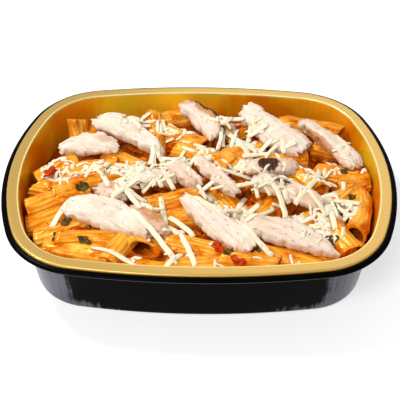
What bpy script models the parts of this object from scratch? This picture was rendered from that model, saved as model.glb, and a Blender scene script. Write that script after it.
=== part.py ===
# Baked pasta with chicken strips and shredded cheese, in its rounded foil tray.
# Metres, +Z up. The origin is the middle of the tray's base, and the long side runs along X.
# The tables below give places in millimetres; make_object turns every mesh into metres.

import math
import random

import bmesh
import bpy
from mathutils import Matrix, Vector
from mathutils.bvhtree import BVHTree

MM = 0.001
GAP = 0.35                  # clearance between pieces that touch, mm
GROWTH = 0.5                # how much larger a piece is made to cut room for it, mm

# Tray: the plan of the flange's outer edge is four long arcs joined by corner arcs
HALF_LENGTH = 110.0
HALF_WIDTH = 83.8
LONG_SIDE_RADIUS = 456.0
SHORT_SIDE_RADIUS = 144.0
CORNER_RADIUS = 43.0
LONG_STEPS = 3
CORNER_STEPS = 6
SHORT_STEPS = 3
TRAY_HEIGHT = 44.0
WALL = 0.8
FLANGE_WIDTH = 5.8
FLANGE_BEND = 0.6
BASE_INSET = 9.9            # the outer wall's foot, inside the flange's outer edge
BASE_FILLET = 3.4
HEM_REACH = 3.3             # the rolled hem stands this far outside the flange
HEM_RADIUS = 0.65
HEM_DROP = 2.4              # the hem's middle lies this far below the flange
SHARP_DEGREES = 50.0        # edges sharper than this are left unsmoothed

# Heap of pasta in sauce
CORE_TOP = 31.0
CORE_HALF_LENGTH = 98.0
CORE_HALF_WIDTH = 72.0
CORE_LEVEL_SHARE = 0.72     # the packed pasta is level out to this share of its half sizes
CORE_EDGE_DROP = 9.0
CORE_RINGS = (0.93, 0.82, 0.66, 0.48, 0.28)
CORE_BUMP = 1.6
CORE_BUMP_TURNS = ((0.31, 0.12), (-0.07, 0.27))     # radians a millimetre, along X and Y
TUBE_RADIUS = 6.6
TUBE_WALL = 1.7
TUBE_SIDES = 10
HOLE_DEPTH = 9.0
HOLE_DEPTH_SHARE = 0.8      # or at most this share of the half length
HOLE_NARROWS = 0.9          # the mouth's bottom, as a share of the bore
SQUASH_SPREAD = 0.35        # a squashed tube grows this much wider, and SQUASH_DROP lower
SQUASH_DROP = 0.6
WALL_CLEARANCE = 0.7        # tubes keep this far from the tray's wall

# Chicken strips
STRIP_SIDES = 8
STRIP_STATIONS = 8
STRIP_BLUNT = 0.78          # width left at a strip's ends, as a share of the width there
STRIP_SQUARE = 0.65         # how nearly the section fills its box
STRIP_END_DEPTH = 0.62      # depth left at a strip's ends
STRIP_WIDENS = 1.6          # how fast the ends grow to full width and depth
STRIP_DEEPENS = 2.6
STRIP_UNEVEN_WIDTH = (0.92, 1.1)
STRIP_UNEVEN_DEPTH = (0.9, 1.06)
RAGGED_END = 1.8
RAGGED_SIDE = 0.5
MOUND_SIDES = 6
MOUND_STATIONS = 3
MOUND_DROP = 1.5            # the mound's middle lies this far below the strip
MOUND_DEPTH = 7.0
MOUND_WIDTH_SHARE = 0.42
MOUND_LENGTH_SHARE = 0.86
MOUND_END_SHARE = 0.7

# Cheese, herbs and tomato
SHRED_WIDTH = 3.1
SHRED_DEPTH = 2.0
SHRED_STATIONS = 5
SHRED_SINK = 0.7
SHRED_SLOPE = 0.3           # a stiff shred falls away no steeper than this
SHRED_END_SHARE = 0.36
SHRED_TOP_SHARE = 0.85
LEAF_DEPTH = 0.7
LEAF_SINK = 0.7
LEAF_CELLS = (3, 2)
LEAF_TIP_SHARE = 0.65
LEAF_WAVE = 0.8
LEAF_WAVE_TURNS = (1.1, 0.5)
TOMATO_DEPTH = 2.2
TOMATO_RISE = 0.4
SIGHT_HEIGHT = 100.0        # toppings are dropped onto the food from this height

# Chicken: name, x, y, height of its top, heading, tilt, roll, length,
# widths at the start, middle and end, depth, sideways bend. Degrees and millimetres.
# A strip earlier in the table lies on the ones after it.
CHICKEN = (
    ("back_left", -43, 37, 44.5, -36, -2, 8, 54, (14, 16, 5), 8, 3),
    ("back", 1, 53, 45.0, -54, -4, 12, 38, (12, 16, 14), 8, 2),
    ("back_right", 45, 43, 45.0, -48, -3, 14, 53, (14, 20, 17), 9, -2),
    ("rim_right", 79, 32, 43.5, -54, -2, 0, 53, (8, 12, 13), 7, 2),
    ("front_left", -50, -36, 43.5, -22, -2, 14, 53, (15, 21, 13), 9, 3),
    ("long_middle", 10, -40, 43.5, -43, -3, 8, 54, (8, 15, 16), 8, -2),
    ("front_right", 50, -51, 43.5, -22, -4, 10, 56, (12, 18, 4), 8, 4),
    ("middle", 10, -3, 44.5, -50, -3, 0, 38, (8, 10, 8), 6, 0),
    ("peppered", 51, -14, 43.5, -28, -4, 6, 44, (13, 14, 9), 7, 2),
    ("grilled", 42, 7, 43.5, 4, 0, 10, 33, (7, 13, 10), 7, 1),
    ("left", -68, 27, 42.5, 6, 1, 16, 36, (7, 17, 11), 7, 3),
    ("browned", -27, -38, 42.5, -46, -6, 0, 29, (12, 12, 7), 7, 0),
    ("shaded", -8, -2, 44.5, -42, -4, 0, 25, (12, 12, 9), 7, 0),
    ("under_cheese", -50, -15, 42.5, -16, 0, 8, 20, (11, 14, 11), 7, 0),
    ("centre_left", -26, -4, 43.5, -6, 0, 0, 26, (9, 11, 8), 6, 0),
)

# Pasta tubes that show: x, y, height of the top, heading, tilt, length, slant of the cut, squash,
# and which ends show an open mouth (0 none, 1 start, 2 end, 3 both).
TUBES = (
    (-84, -18, 39, 23, 2, 38, 0.1, 0.2, 1),
    (-82, -28, 35, 26, 3, 34, 0.2, 0.45, 1),
    (-70, -7, 41, 28, 2, 32, 0.5, 0.2, 0),
    (-83, -6, 36, -12, -6, 24, 0.7, 0.1, 1),
    (-76, -39, 36, 26, 5, 32, 0.2, 0.1, 1),
    (-61, -47, 37, 2, 0, 34, 0.2, 0.1, 0),
    (-66, -58, 34, -11, 0, 42, 0.4, 0.25, 1),
    (-43, -52, 37, 62, 4, 26, 0.1, 0.1, 2),
    (-36, -43, 36, 112, -16, 30, 0.9, 0.15, 1),
    (-21, -48, 35, 14, 4, 30, 0.1, 0.1, 0),
    (-1, -52, 37, -12, -3, 34, 0.2, 0.1, 0),
    (0, -65, 35, 6, -2, 36, 0.3, 0.1, 0),
    (-26, -66, 33, -4, 0, 30, 0.2, 0.1, 0),
    (28, -63, 38, -6, -2, 31, 0.3, -0.1, 1),
    (50, -62, 36, -16, -4, 36, 0.3, 0.1, 0),
    (66, -56, 35, -54, -4, 28, 0.2, 0.1, 0),
    (83, -47, 38, -62, 0, 34, 0.1, 0.1, 0),
    (70, -43, 37, -110, -10, 26, 0.2, 0.1, 1),
    (91, -26, 39, 76, -6, 38, 0.3, -0.1, 1),
    (94, 0, 38, 24, 4, 20, 0.1, 0, 2),
    (82, -11, 36, 42, 4, 26, 0.2, 0, 0),
    (70, 52, 41, -15, 0, 40, 0.4, 0, 2),
    (88, 37, 37, -20, -2, 24, 0.2, 0.1, 0),
    (82, 10, 37, -16, 0, 26, 0.2, 0.1, 2),
    (95, 17, 35, 60, 0, 24, 0.2, 0.1, 0),
    (-28, 43, 41, 94, 18, 32, 0.3, -0.1, 2),
    (-10, 40, 40, -28, 0, 30, 0.2, 0.1, 2),
    (-18, 62, 39, 14, 0, 26, 0.2, 0.1, 0),
    (3, 21, 41, -28, 2, 38, 0.2, 0.1, 2),
    (24, 14, 40, -31, -2, 30, 0.8, 0.2, 0),
    (23, 51, 38, 16, 0, 30, 0.2, 0.1, 0),
    (26, 30, 37, 22, 0, 26, 0.2, 0.3, 0),
    (61, 4, 40, -52, 0, 30, 0.2, 0.1, 0),
    (-77, 45, 37, 96, 55, 26, 0.1, -0.1, 2),
    (-66, 50, 36, 20, 0, 28, 0.2, 0.1, 0),
    (-86, 14, 36, 34, 8, 28, 0.1, 0.1, 1),
    (-66, 13, 37, 8, 2, 34, 0.2, 0.1, 2),
    (-14, -16, 39, 20, 2, 34, 0.2, 0.1, 0),
    (-10, -29, 37, 10, 4, 28, 0.2, 0.1, 0),
    (33, -24, 36, 40, 0, 30, 0.2, 0.1, 0),
    (64, -29, 37, 36, 0, 32, 0.2, 0.1, 0),
    (-50, 4, 38, 24, 0, 32, 0.2, 0.1, 0),
    (-44, 20, 36, -30, 0, 30, 0.2, 0.1, 2),
    (50, 22, 37, 12, 0, 32, 0.2, 0.1, 0),
    (-5, 66, 34, -10, 0, 30, 0.2, 0.1, 0),
    (18, -16, 36, -56, 0, 30, 0.2, 0.1, 0),
)

# Cheese shreds that show from a step away: x, y, heading, length, bow
SHREDS = (
    (-39, -15, 44, 29, 2),
    (-39, -21, -61, 27, -1),
    (-24, -51, -50, 38, 1),
    (-20, -29, -80, 20, 0),
    (-9, -52, -62, 36, 2),
    (-9, -40, -46, 20, 1),
    (-42, -63, -29, 34, 1),
    (-13, -65, 56, 16, 0),
    (-77, -32, 65, 20, 0),
    (22, 1, 1, 23, 0),
    (23, -23, 73, 26, 0),
    (28, -30, 57, 23, 0),
    (29, -50, -55, 34, -2),
    (44, -22, -77, 38, 2),
    (35, -34, 50, 26, -3),
    (4, -28, -40, 24, 0),
    (11, -18, -58, 30, 0),
    (64, -8, 63, 38, -3),
    (71, -21, -76, 18, 0),
    (74, -30, -85, 25, 0),
    (20, 51, -3, 16, -2),
    (24, 33, -56, 31, 0),
    (-57, -3, -63, 25, 1),
    (-38, -2, 14, 20, 2),
    (-41, 45, -57, 18, 0),
    (-66, 8, 40, 22, 0),
    (-14, 10, -30, 20, 1),
    (36, 22, 20, 22, 0),
    (84, -20, -20, 16, 0),
)

# Wilted herb leaves and pieces of tomato: x, y, heading, length, width
LEAVES = (
    (52, 60, 10, 11, 7),
    (78, -22, 80, 9, 4),
    (-67, -12, 30, 7, 5),
    (-86, -8, 60, 6, 4),
    (-73, -30, 70, 6, 5),
    (72, -46, 10, 8, 5),
    (90, -9, -20, 6, 4),
    (38, 9, -10, 8, 4),
)
TOMATOES = (
    (-88, 12, 60, 9, 5),
    (-70, -36, -20, 9, 5),
    (12, -55, -60, 8, 5),
    (22, -62, -30, 8, 5),
)

# Colours are linear, with the roughness and the metallic value of each material
TRAY_FINISH = ((0.62, 0.38, 0.10, 1.0), 0.28, 1.0)
PASTA_FINISH = ((0.90, 0.36, 0.04, 1.0), 0.35, 0.0)
CHICKEN_FINISH = ((0.90, 0.75, 0.60, 1.0), 0.5, 0.0)


def clear_objects():
    for item in list(bpy.data.objects):
        bpy.data.objects.remove(item, do_unlink=True)


def make_material(name, finish):
    colour, roughness, metallic = finish
    material = bpy.data.materials.new(name)
    material.use_nodes = True
    shader = material.node_tree.nodes["Principled BSDF"]
    shader.inputs["Base Color"].default_value = colour
    shader.inputs["Roughness"].default_value = roughness
    shader.inputs["Metallic"].default_value = metallic
    material.diffuse_color = colour
    return material


def make_object(name, mesh_data, material, collection=None):
    # Scales a bmesh in millimetres to metres and links it as a named object.
    bmesh.ops.scale(mesh_data, vec=(MM, MM, MM), verts=mesh_data.verts)
    mesh = bpy.data.meshes.new(name)
    mesh_data.to_mesh(mesh)
    mesh_data.free()
    mesh.materials.append(material)
    item = bpy.data.objects.new(name, mesh)
    (collection or bpy.context.scene.collection).objects.link(item)
    return item


def corner_centre():
    # The corner arc touches the long side's arc and the short side's arc from inside.
    long_centre = Vector((0.0, HALF_WIDTH - LONG_SIDE_RADIUS))
    short_centre = Vector((HALF_LENGTH - SHORT_SIDE_RADIUS, 0.0))
    from_long = LONG_SIDE_RADIUS - CORNER_RADIUS
    from_short = SHORT_SIDE_RADIUS - CORNER_RADIUS
    line = short_centre - long_centre
    apart = line.length
    along = (from_long ** 2 - from_short ** 2 + apart ** 2) / (2.0 * apart)
    across = math.sqrt(from_long ** 2 - along ** 2)
    line.normalize()
    side = Vector((line.y, -line.x))
    return long_centre, short_centre, long_centre + line * along + side * across


def outline(offset):
    # Points of the tray's plan, counter-clockwise, with every arc moved outwards by offset.
    long_centre, short_centre, corner = corner_centre()
    long_end = math.atan2(corner.y - long_centre.y, corner.x - long_centre.x)
    short_end = math.atan2(corner.y - short_centre.y, corner.x - short_centre.x)
    arcs = (
        (short_centre, SHORT_SIDE_RADIUS, 0.0, short_end, SHORT_STEPS),
        (corner, CORNER_RADIUS, short_end, long_end, CORNER_STEPS),
        (long_centre, LONG_SIDE_RADIUS, long_end, math.pi / 2.0, LONG_STEPS),
    )
    quarter = []
    for centre, radius, start, end, steps in arcs:
        for step in range(steps):
            angle = start + (end - start) * step / steps
            reach = radius + offset
            quarter.append((centre.x + reach * math.cos(angle), centre.y + reach * math.sin(angle)))
    top = (0.0, HALF_WIDTH + offset)
    second = [(-x, y) for x, y in reversed(quarter)]
    upper = quarter + [top] + second
    lower = [(-x, -y) for x, y in upper[1:-1]]
    return upper + lower


def ring(mesh_data, offset, height):
    return [mesh_data.verts.new((x, y, height)) for x, y in outline(offset)]


def skin(mesh_data, first, second):
    # Faces between two rings that run counter-clockwise about the direction from first to second.
    count = len(first)
    for index in range(count):
        following = (index + 1) % count
        mesh_data.faces.new((first[index], first[following], second[following], second[index]))


def close_rows(mesh_data, rows):
    # A closed body from its rings: both ends get a cap that faces away from the body.
    for first, second in zip(rows, rows[1:]):
        skin(mesh_data, first, second)
    mesh_data.faces.new(rows[0][::-1])
    mesh_data.faces.new(rows[-1])


def arc(centre, radius, start, end, steps):
    # Points of an arc in the tray's section, as (offset, height).
    points = []
    for step in range(steps + 1):
        angle = math.radians(start + (end - start) * step / steps)
        points.append((centre[0] + radius * math.cos(angle), centre[1] + radius * math.sin(angle)))
    return points


def wall_offset(height):
    # Inner face of the wall: a straight taper from the flange's inner edge to the foot.
    top = -FLANGE_WIDTH - FLANGE_BEND
    foot = -BASE_INSET - WALL
    share = (TRAY_HEIGHT - height) / (TRAY_HEIGHT - BASE_FILLET)
    return top + (foot - top) * share


def plan_offset(x, y):
    # How far a point of the plan lies outside the flange's outer edge; negative inside it.
    long_centre, short_centre, corner = corner_centre()
    point = Vector((abs(x), abs(y)))
    angle = math.atan2(point.y - corner.y, point.x - corner.x)
    long_end = math.atan2(corner.y - long_centre.y, corner.x - long_centre.x)
    short_end = math.atan2(corner.y - short_centre.y, corner.x - short_centre.x)
    if short_end < angle < long_end:
        return (point - corner).length - CORNER_RADIUS
    from_long = (point - long_centre).length - LONG_SIDE_RADIUS
    from_short = (point - short_centre).length - SHORT_SIDE_RADIUS
    return max(from_long, from_short)


def tray_section():
    # Inside from the base up, over the flange, round the hem, and down the outside.
    section = []
    inner = BASE_FILLET - WALL * 0.5
    foot = -BASE_INSET - WALL
    section += arc((foot - inner, WALL + inner), inner, 270.0, 360.0, 3)
    section += arc((-FLANGE_WIDTH, TRAY_HEIGHT - FLANGE_BEND), FLANGE_BEND, 180.0, 90.0, 1)
    section += arc((-FLANGE_BEND, TRAY_HEIGHT - FLANGE_BEND), FLANGE_BEND, 90.0, 30.0, 1)
    hem = (HEM_REACH - HEM_RADIUS, TRAY_HEIGHT - HEM_DROP)
    section += arc(hem, HEM_RADIUS, 60.0, -150.0, 3)
    section.append((-FLANGE_BEND, TRAY_HEIGHT - WALL - FLANGE_BEND))
    section.append((-FLANGE_WIDTH + WALL, TRAY_HEIGHT - WALL))
    section.append((-FLANGE_WIDTH + WALL * 0.25, TRAY_HEIGHT - 2.0 * WALL))
    section += arc((-BASE_INSET - BASE_FILLET, BASE_FILLET), BASE_FILLET, 0.0, -90.0, 3)
    return section


def make_tray(material):
    mesh_data = bmesh.new()
    rings = [ring(mesh_data, offset, height) for offset, height in reversed(tray_section())]
    close_rows(mesh_data, rings)
    tray = make_object("tray", mesh_data, material)
    tray.data.shade_smooth()
    tray.data.set_sharp_from_angle(angle=math.radians(SHARP_DEGREES))
    return tray


def core_height(x, y):
    # Top of the packed pasta and sauce: level in the middle, lower in the corners and by the wall.
    reach = (abs(x / CORE_HALF_LENGTH) ** 3 + abs(y / CORE_HALF_WIDTH) ** 3) ** (1.0 / 3.0)
    drop = CORE_EDGE_DROP * max(0.0, reach - CORE_LEVEL_SHARE) / (1.0 - CORE_LEVEL_SHARE)
    first, second = [x * turns[0] + y * turns[1] for turns in CORE_BUMP_TURNS]
    return CORE_TOP - drop + CORE_BUMP * math.sin(first) * math.cos(second)


def make_core(mesh_data):
    # The bare core: the tray's inside less the gap, closed on top by shrinking rings.
    foot = wall_offset(WALL + BASE_FILLET) - GAP
    middle = (foot - BASE_FILLET, WALL + GAP + BASE_FILLET)
    levels = arc(middle, BASE_FILLET, 270.0, 360.0, 2)
    rings = [ring(mesh_data, offset, height) for offset, height in levels]
    edge = []
    for index, (x, y) in enumerate(outline(foot)):
        height = core_height(x, y)
        point = outline(wall_offset(height) - GAP)[index]
        edge.append(mesh_data.verts.new((point[0], point[1], height)))
    rings.append(edge)
    for share in CORE_RINGS:
        row = []
        for vertex in edge:
            x = vertex.co.x * share
            y = vertex.co.y * share
            row.append(mesh_data.verts.new((x, y, core_height(x, y))))
        rings.append(row)
    for first, second in zip(rings, rings[1:]):
        skin(mesh_data, first, second)
    mesh_data.faces.new(rings[0][::-1])
    middle = mesh_data.verts.new((0.0, 0.0, core_height(0.0, 0.0)))
    last = rings[-1]
    for index, vertex in enumerate(last):
        mesh_data.faces.new((vertex, last[(index + 1) % len(last)], middle))


def turn(x, y, z, heading, tilt, roll=0.0):
    # Places a piece that was made along X: rolled about itself, tilted, then turned to its heading.
    matrix = Matrix.Translation((x, y, z)) @ Matrix.Rotation(math.radians(heading), 4, "Z")
    matrix = matrix @ Matrix.Rotation(math.radians(-tilt), 4, "Y")
    return matrix @ Matrix.Rotation(math.radians(roll), 4, "X")


def add_strip(mesh_data, row, number, grow=0.0):
    # One torn strip of chicken: flat oval sections along a bent line, with blunt uneven ends.
    x, y, top, heading, tilt, roll, length, widths, depth, bend = row[1:]
    draw = random.Random(number)
    placing = turn(x, y, top - depth * 0.5, heading, tilt, roll)
    rows = []
    for station in range(STRIP_STATIONS):
        share = station / (STRIP_STATIONS - 1)
        if share < 0.5:
            width = widths[0] + (widths[1] - widths[0]) * share * 2.0
        else:
            width = widths[1] + (widths[2] - widths[1]) * (share - 0.5) * 2.0
        end = min(share, 1.0 - share)
        narrow = min(1.0, STRIP_BLUNT + end * STRIP_WIDENS)
        thin = min(1.0, STRIP_END_DEPTH + end * STRIP_DEEPENS)
        across = width * 0.5 * narrow * draw.uniform(*STRIP_UNEVEN_WIDTH) + grow
        deep = depth * 0.5 * thin * draw.uniform(*STRIP_UNEVEN_DEPTH) + grow
        along = (share - 0.5) * (length + 2.0 * grow)
        side = bend * (4.0 * share * (1.0 - share) - 0.5)
        cells = []
        for cell in range(STRIP_SIDES):
            angle = 2.0 * math.pi * (cell + 0.5) / STRIP_SIDES
            flat = math.copysign(abs(math.cos(angle)) ** STRIP_SQUARE, math.cos(angle))
            high = math.copysign(abs(math.sin(angle)) ** STRIP_SQUARE, math.sin(angle))
            ragged = draw.uniform(-1.0, 1.0) * (RAGGED_END if end == 0.0 else RAGGED_SIDE)
            point = Vector((along + ragged, side + flat * across, high * deep))
            cells.append(mesh_data.verts.new(placing @ point))
        rows.append(cells)
    for first, second in zip(rows, rows[1:]):
        skin(mesh_data, first, second)
    for rim, side in ((rows[0], -1), (rows[-1], 1)):
        middle = sum((vertex.co for vertex in rim), Vector()) / STRIP_SIDES
        tip = mesh_data.verts.new(middle)
        for index, vertex in enumerate(rim):
            corners = (vertex, rim[(index + 1) % STRIP_SIDES], tip)
            mesh_data.faces.new(corners[::side])


def add_mound(mesh_data, row):
    # Pasta pressed under a strip, which the strip nests in.
    x, y, top, heading, tilt, roll, length, widths, depth, bend = row[1:]
    placing = turn(x, y, top - depth - MOUND_DROP, heading, tilt)
    rows = []
    for station in range(MOUND_STATIONS):
        share = station / (MOUND_STATIONS - 1)
        end = min(share, 1.0 - share)
        across = widths[1] * MOUND_WIDTH_SHARE * min(1.0, MOUND_END_SHARE + end)
        deep = MOUND_DEPTH * min(1.0, MOUND_END_SHARE + end)
        cells = []
        for cell in range(MOUND_SIDES):
            angle = 2.0 * math.pi * cell / MOUND_SIDES
            along = (share - 0.5) * length * MOUND_LENGTH_SHARE
            point = Vector((along, across * math.cos(angle), deep * math.sin(angle)))
            cells.append(mesh_data.verts.new(placing @ point))
        rows.append(cells)
    close_rows(mesh_data, rows)


def tube_ring(placing, along, radius, slant, squash):
    points = []
    for cell in range(TUBE_SIDES):
        angle = 2.0 * math.pi * cell / TUBE_SIDES
        across = radius * (1.0 + SQUASH_SPREAD * squash) * math.cos(angle)
        up = radius * (1.0 - SQUASH_DROP * squash) * math.sin(angle)
        points.append(placing @ Vector((along + slant * across, across, up)))
    return points


def clear_of_wall(points):
    # How far a piece moves inwards, as a vector, until all its points clear the tray's wall.
    move = Vector((0.0, 0.0, 0.0))
    for attempt in range(4):
        worst = 0.0
        push = Vector((0.0, 0.0, 0.0))
        for point in points:
            x, y, z = point + move
            over = plan_offset(x, y) - wall_offset(min(z, TRAY_HEIGHT)) + WALL_CLEARANCE
            if over > worst:
                worst = over
                push = Vector((-x / HALF_LENGTH ** 2, -y / HALF_WIDTH ** 2, 0.0)).normalized()
        move += push * worst
    return move


def add_tube(mesh_data, row):
    # One pasta tube, its ends cut on a slant, with a real mouth where the mouth shows.
    x, y, top, heading, tilt, length, slant, squash, mouths = row
    height = top - TUBE_RADIUS * (1.0 - SQUASH_DROP * squash)
    placing = turn(x, y, height, heading, tilt)
    half = length * 0.5
    sections = [tube_ring(placing, side * half, TUBE_RADIUS, slant, squash) for side in (-1, 0, 1)]
    move = clear_of_wall(sections[0] + sections[-1])
    placing = Matrix.Translation(move) @ placing

    def cells(along, radius):
        points = tube_ring(placing, along, radius, slant, squash)
        return [mesh_data.verts.new(point) for point in points]

    rows = [cells(side * half, TUBE_RADIUS) for side in (-1, 0, 1)]
    for first, second in zip(rows, rows[1:]):
        skin(mesh_data, first, second)
    for bit, side, rim in ((1, -1, rows[0]), (2, 1, rows[-1])):
        path = [rim]
        if mouths & bit:
            bore = TUBE_RADIUS - TUBE_WALL
            depth = min(HOLE_DEPTH, half * HOLE_DEPTH_SHARE)
            path.append(cells(side * half, bore))
            path.append(cells(side * (half - depth), bore * HOLE_NARROWS))
        for first, second in zip(path, path[1:]):
            skin(mesh_data, first[::side], second[::side])
        mesh_data.faces.new(path[-1][::side])


def height_of(ground, x, y):
    hit = ground.ray_cast(Vector((x, y, SIGHT_HEIGHT)), Vector((0.0, 0.0, -1.0)))[0]
    return hit.z if hit else 0.0


def drape(ground, points, sink):
    # Heights of a stiff strip laid on the ground: it bridges the hollows that it crosses.
    heights = [height_of(ground, x, y) for x, y in points]
    lifted = []
    for index in range(len(heights)):
        best = heights[index]
        for left in range(index + 1):
            for right in range(index, len(heights)):
                if right > left:
                    share = (index - left) / (right - left)
                    best = max(best, heights[left] * (1.0 - share) + heights[right] * share)
        lifted.append(best - sink)
    step = (Vector(points[1]) - Vector(points[0])).length * SHRED_SLOPE
    for index in range(1, len(lifted)):
        lifted[index] = max(lifted[index], lifted[index - 1] - step)
    for index in range(len(lifted) - 2, -1, -1):
        lifted[index] = max(lifted[index], lifted[index + 1] - step)
    return lifted


def bowed_line(x, y, heading, length, bow, stations):
    angle = math.radians(heading)
    points = []
    for station in range(stations):
        share = station / (stations - 1)
        along = (share - 0.5) * length
        side = bow * (4.0 * share * (1.0 - share) - 0.5)
        points.append((x + along * math.cos(angle) - side * math.sin(angle),
                       y + along * math.sin(angle) + side * math.cos(angle)))
    return points


def add_shred(mesh_data, row, ground, grow=0.0):
    # One shred of cheese: a thin bent strip of four sides, laid on what is under it.
    x, y, heading, length, bow = row
    points = bowed_line(x, y, heading, length, bow, SHRED_STATIONS)
    heights = drape(ground, points, SHRED_SINK)
    angle = math.radians(heading)
    side = Vector((-math.sin(angle), math.cos(angle), 0.0))
    along = Vector((math.cos(angle), math.sin(angle), 0.0))
    rows = []
    for index, (px, py) in enumerate(points):
        end = index in (0, SHRED_STATIONS - 1)
        across = SHRED_WIDTH * (SHRED_END_SHARE if end else 0.5) + grow
        narrow = across * SHRED_TOP_SHARE
        low = heights[index] - grow
        high = heights[index] + SHRED_DEPTH + grow
        shift = along * (grow if index == SHRED_STATIONS - 1 else (-grow if index == 0 else 0.0))
        middle = Vector((px, py, 0.0)) + shift
        corners = ((-across, low), (across, low), (narrow, high), (-narrow, high))
        cells = []
        for reach, height in corners:
            point = middle + side * reach
            point.z = height
            cells.append(mesh_data.verts.new(point))
        rows.append(cells)
    close_rows(mesh_data, rows)


def add_leaf(mesh_data, row, ground):
    # A wilted leaf: a thin wavy sheet of a few cells, with the same cells on both faces.
    x, y, heading, length, width = row
    angle = math.radians(heading)
    along_cells, across_cells = LEAF_CELLS
    base = height_of(ground, x, y) - LEAF_SINK
    grids = {}
    for face, lift in (("low", 0.0), ("high", LEAF_DEPTH)):
        for i in range(along_cells + 1):
            for j in range(across_cells + 1):
                u = (i / along_cells - 0.5) * length
                pinch = LEAF_TIP_SHARE if i in (0, along_cells) else 1.0
                v = (j / across_cells - 0.5) * width * pinch
                px = x + u * math.cos(angle) - v * math.sin(angle)
                py = y + u * math.sin(angle) + v * math.cos(angle)
                wave = LEAF_WAVE * math.sin(u * LEAF_WAVE_TURNS[0] + v * LEAF_WAVE_TURNS[1])
                grids[face, i, j] = mesh_data.verts.new((px, py, base + wave + lift))
    for i in range(along_cells):
        for j in range(across_cells):
            cell = ((i, j), (i + 1, j), (i + 1, j + 1), (i, j + 1))
            for half in ((0, 1, 2), (0, 2, 3)):
                mesh_data.faces.new([grids[("high",) + cell[corner]] for corner in half])
                mesh_data.faces.new([grids[("low",) + cell[corner]] for corner in reversed(half)])
    border = [(i, 0) for i in range(along_cells)]
    border += [(along_cells, j) for j in range(across_cells)]
    border += [(i, across_cells) for i in range(along_cells, 0, -1)]
    border += [(0, j) for j in range(across_cells, 0, -1)]
    for index, cell in enumerate(border):
        following = border[(index + 1) % len(border)]
        corners = (("low",) + cell, ("low",) + following, ("high",) + following, ("high",) + cell)
        mesh_data.faces.new([grids[corner] for corner in corners])


def add_tomato(mesh_data, row, ground):
    # A squashed lump, half sunk in what it lies on.
    x, y, heading, length, width = row
    placing = turn(x, y, height_of(ground, x, y) + TOMATO_RISE, heading, 0.0)
    stretch = Matrix.Diagonal((length * 0.5, width * 0.5, TOMATO_DEPTH, 1.0))
    bmesh.ops.create_icosphere(mesh_data, subdivisions=1, radius=1.0, matrix=placing @ stretch)


def piece(build, *values):
    mesh_data = bmesh.new()
    build(mesh_data, *values)
    return mesh_data


def tree_of(mesh_data):
    bmesh.ops.triangulate(mesh_data, faces=mesh_data.faces)
    tree = BVHTree.FromBMesh(mesh_data)
    mesh_data.free()
    return tree


def ground_under_toppings():
    # What the small toppings lie on: the bare core, the tubes and the strips, as one tree.
    combined = bmesh.new()
    make_core(combined)
    for tube in TUBES:
        add_tube(combined, tube)
    for number, row in enumerate(CHICKEN):
        add_strip(combined, row, number)
    return tree_of(combined)


def shreds_by_host():
    # Each shred is fused to the highest strip under its middle, or else to the heap (None).
    strips = [tree_of(piece(add_strip, row, number)) for number, row in enumerate(CHICKEN)]
    hosted = {None: []}
    for shred in SHREDS:
        heights = [height_of(strip, shred[0], shred[1]) for strip in strips]
        highest = max(heights)
        host = heights.index(highest) if highest > 0.0 else None
        hosted.setdefault(host, []).append(shred)
    return hosted


def combine(target, operation, pieces, material, solver):
    # One Boolean on a collection, applied, and the collection's objects removed.
    if not pieces:
        return
    collection = bpy.data.collections.new(target.name + "_pieces")
    bpy.context.scene.collection.children.link(collection)
    for number, mesh_data in enumerate(pieces):
        make_object(f"{target.name}_piece_{number}", mesh_data, material, collection)
    modifier = target.modifiers.new("combine", "BOOLEAN")
    modifier.operation = operation
    modifier.solver = solver
    modifier.operand_type = "COLLECTION"
    modifier.collection = collection
    with bpy.context.temp_override(object=target, active_object=target):
        bpy.ops.object.modifier_apply(modifier=modifier.name)
    for item in list(collection.objects):
        bpy.data.objects.remove(item, do_unlink=True)
    bpy.data.collections.remove(collection)
    keep_main_body(target)


def keep_main_body(target):
    # Drops loose scraps and fills sealed hollows, so that one closed body is left.
    mesh_data = bmesh.new()
    mesh_data.from_mesh(target.data)
    unseen = set(mesh_data.faces)
    bodies = []
    while unseen:
        stack = [unseen.pop()]
        body = set(stack)
        while stack:
            face = stack.pop()
            for edge in face.edges:
                for other in edge.link_faces:
                    if other in unseen:
                        unseen.discard(other)
                        body.add(other)
                        stack.append(other)
        bodies.append(body)
    bodies.sort(key=len, reverse=True)
    for body in bodies[1:]:
        bmesh.ops.delete(mesh_data, geom=list(body), context="FACES")
    loose = [vertex for vertex in mesh_data.verts if not vertex.link_faces]
    bmesh.ops.delete(mesh_data, geom=loose, context="VERTS")
    mesh_data.to_mesh(target.data)
    mesh_data.free()


def room_for(number, hosted, ground):
    # A strip and its cheese, made larger by the growth, to cut their room out of a neighbour.
    room = [piece(add_strip, CHICKEN[number], number, GROWTH)]
    room += [piece(add_shred, shred, ground, GROWTH) for shred in hosted.get(number, ())]
    return room


def make_chicken(number, hosted, ground, material):
    # A strip with its cheese fused on, less the room of the strips that lie on it.
    row = CHICKEN[number]
    strip = make_object("chicken_" + row[0], piece(add_strip, row, number), material)
    cheese = [piece(add_shred, shred, ground) for shred in hosted.get(number, ())]
    combine(strip, "UNION", cheese, material, "EXACT")
    above = []
    for other in range(number):
        above += room_for(other, hosted, ground)
    combine(strip, "DIFFERENCE", above, material, "EXACT")


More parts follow.
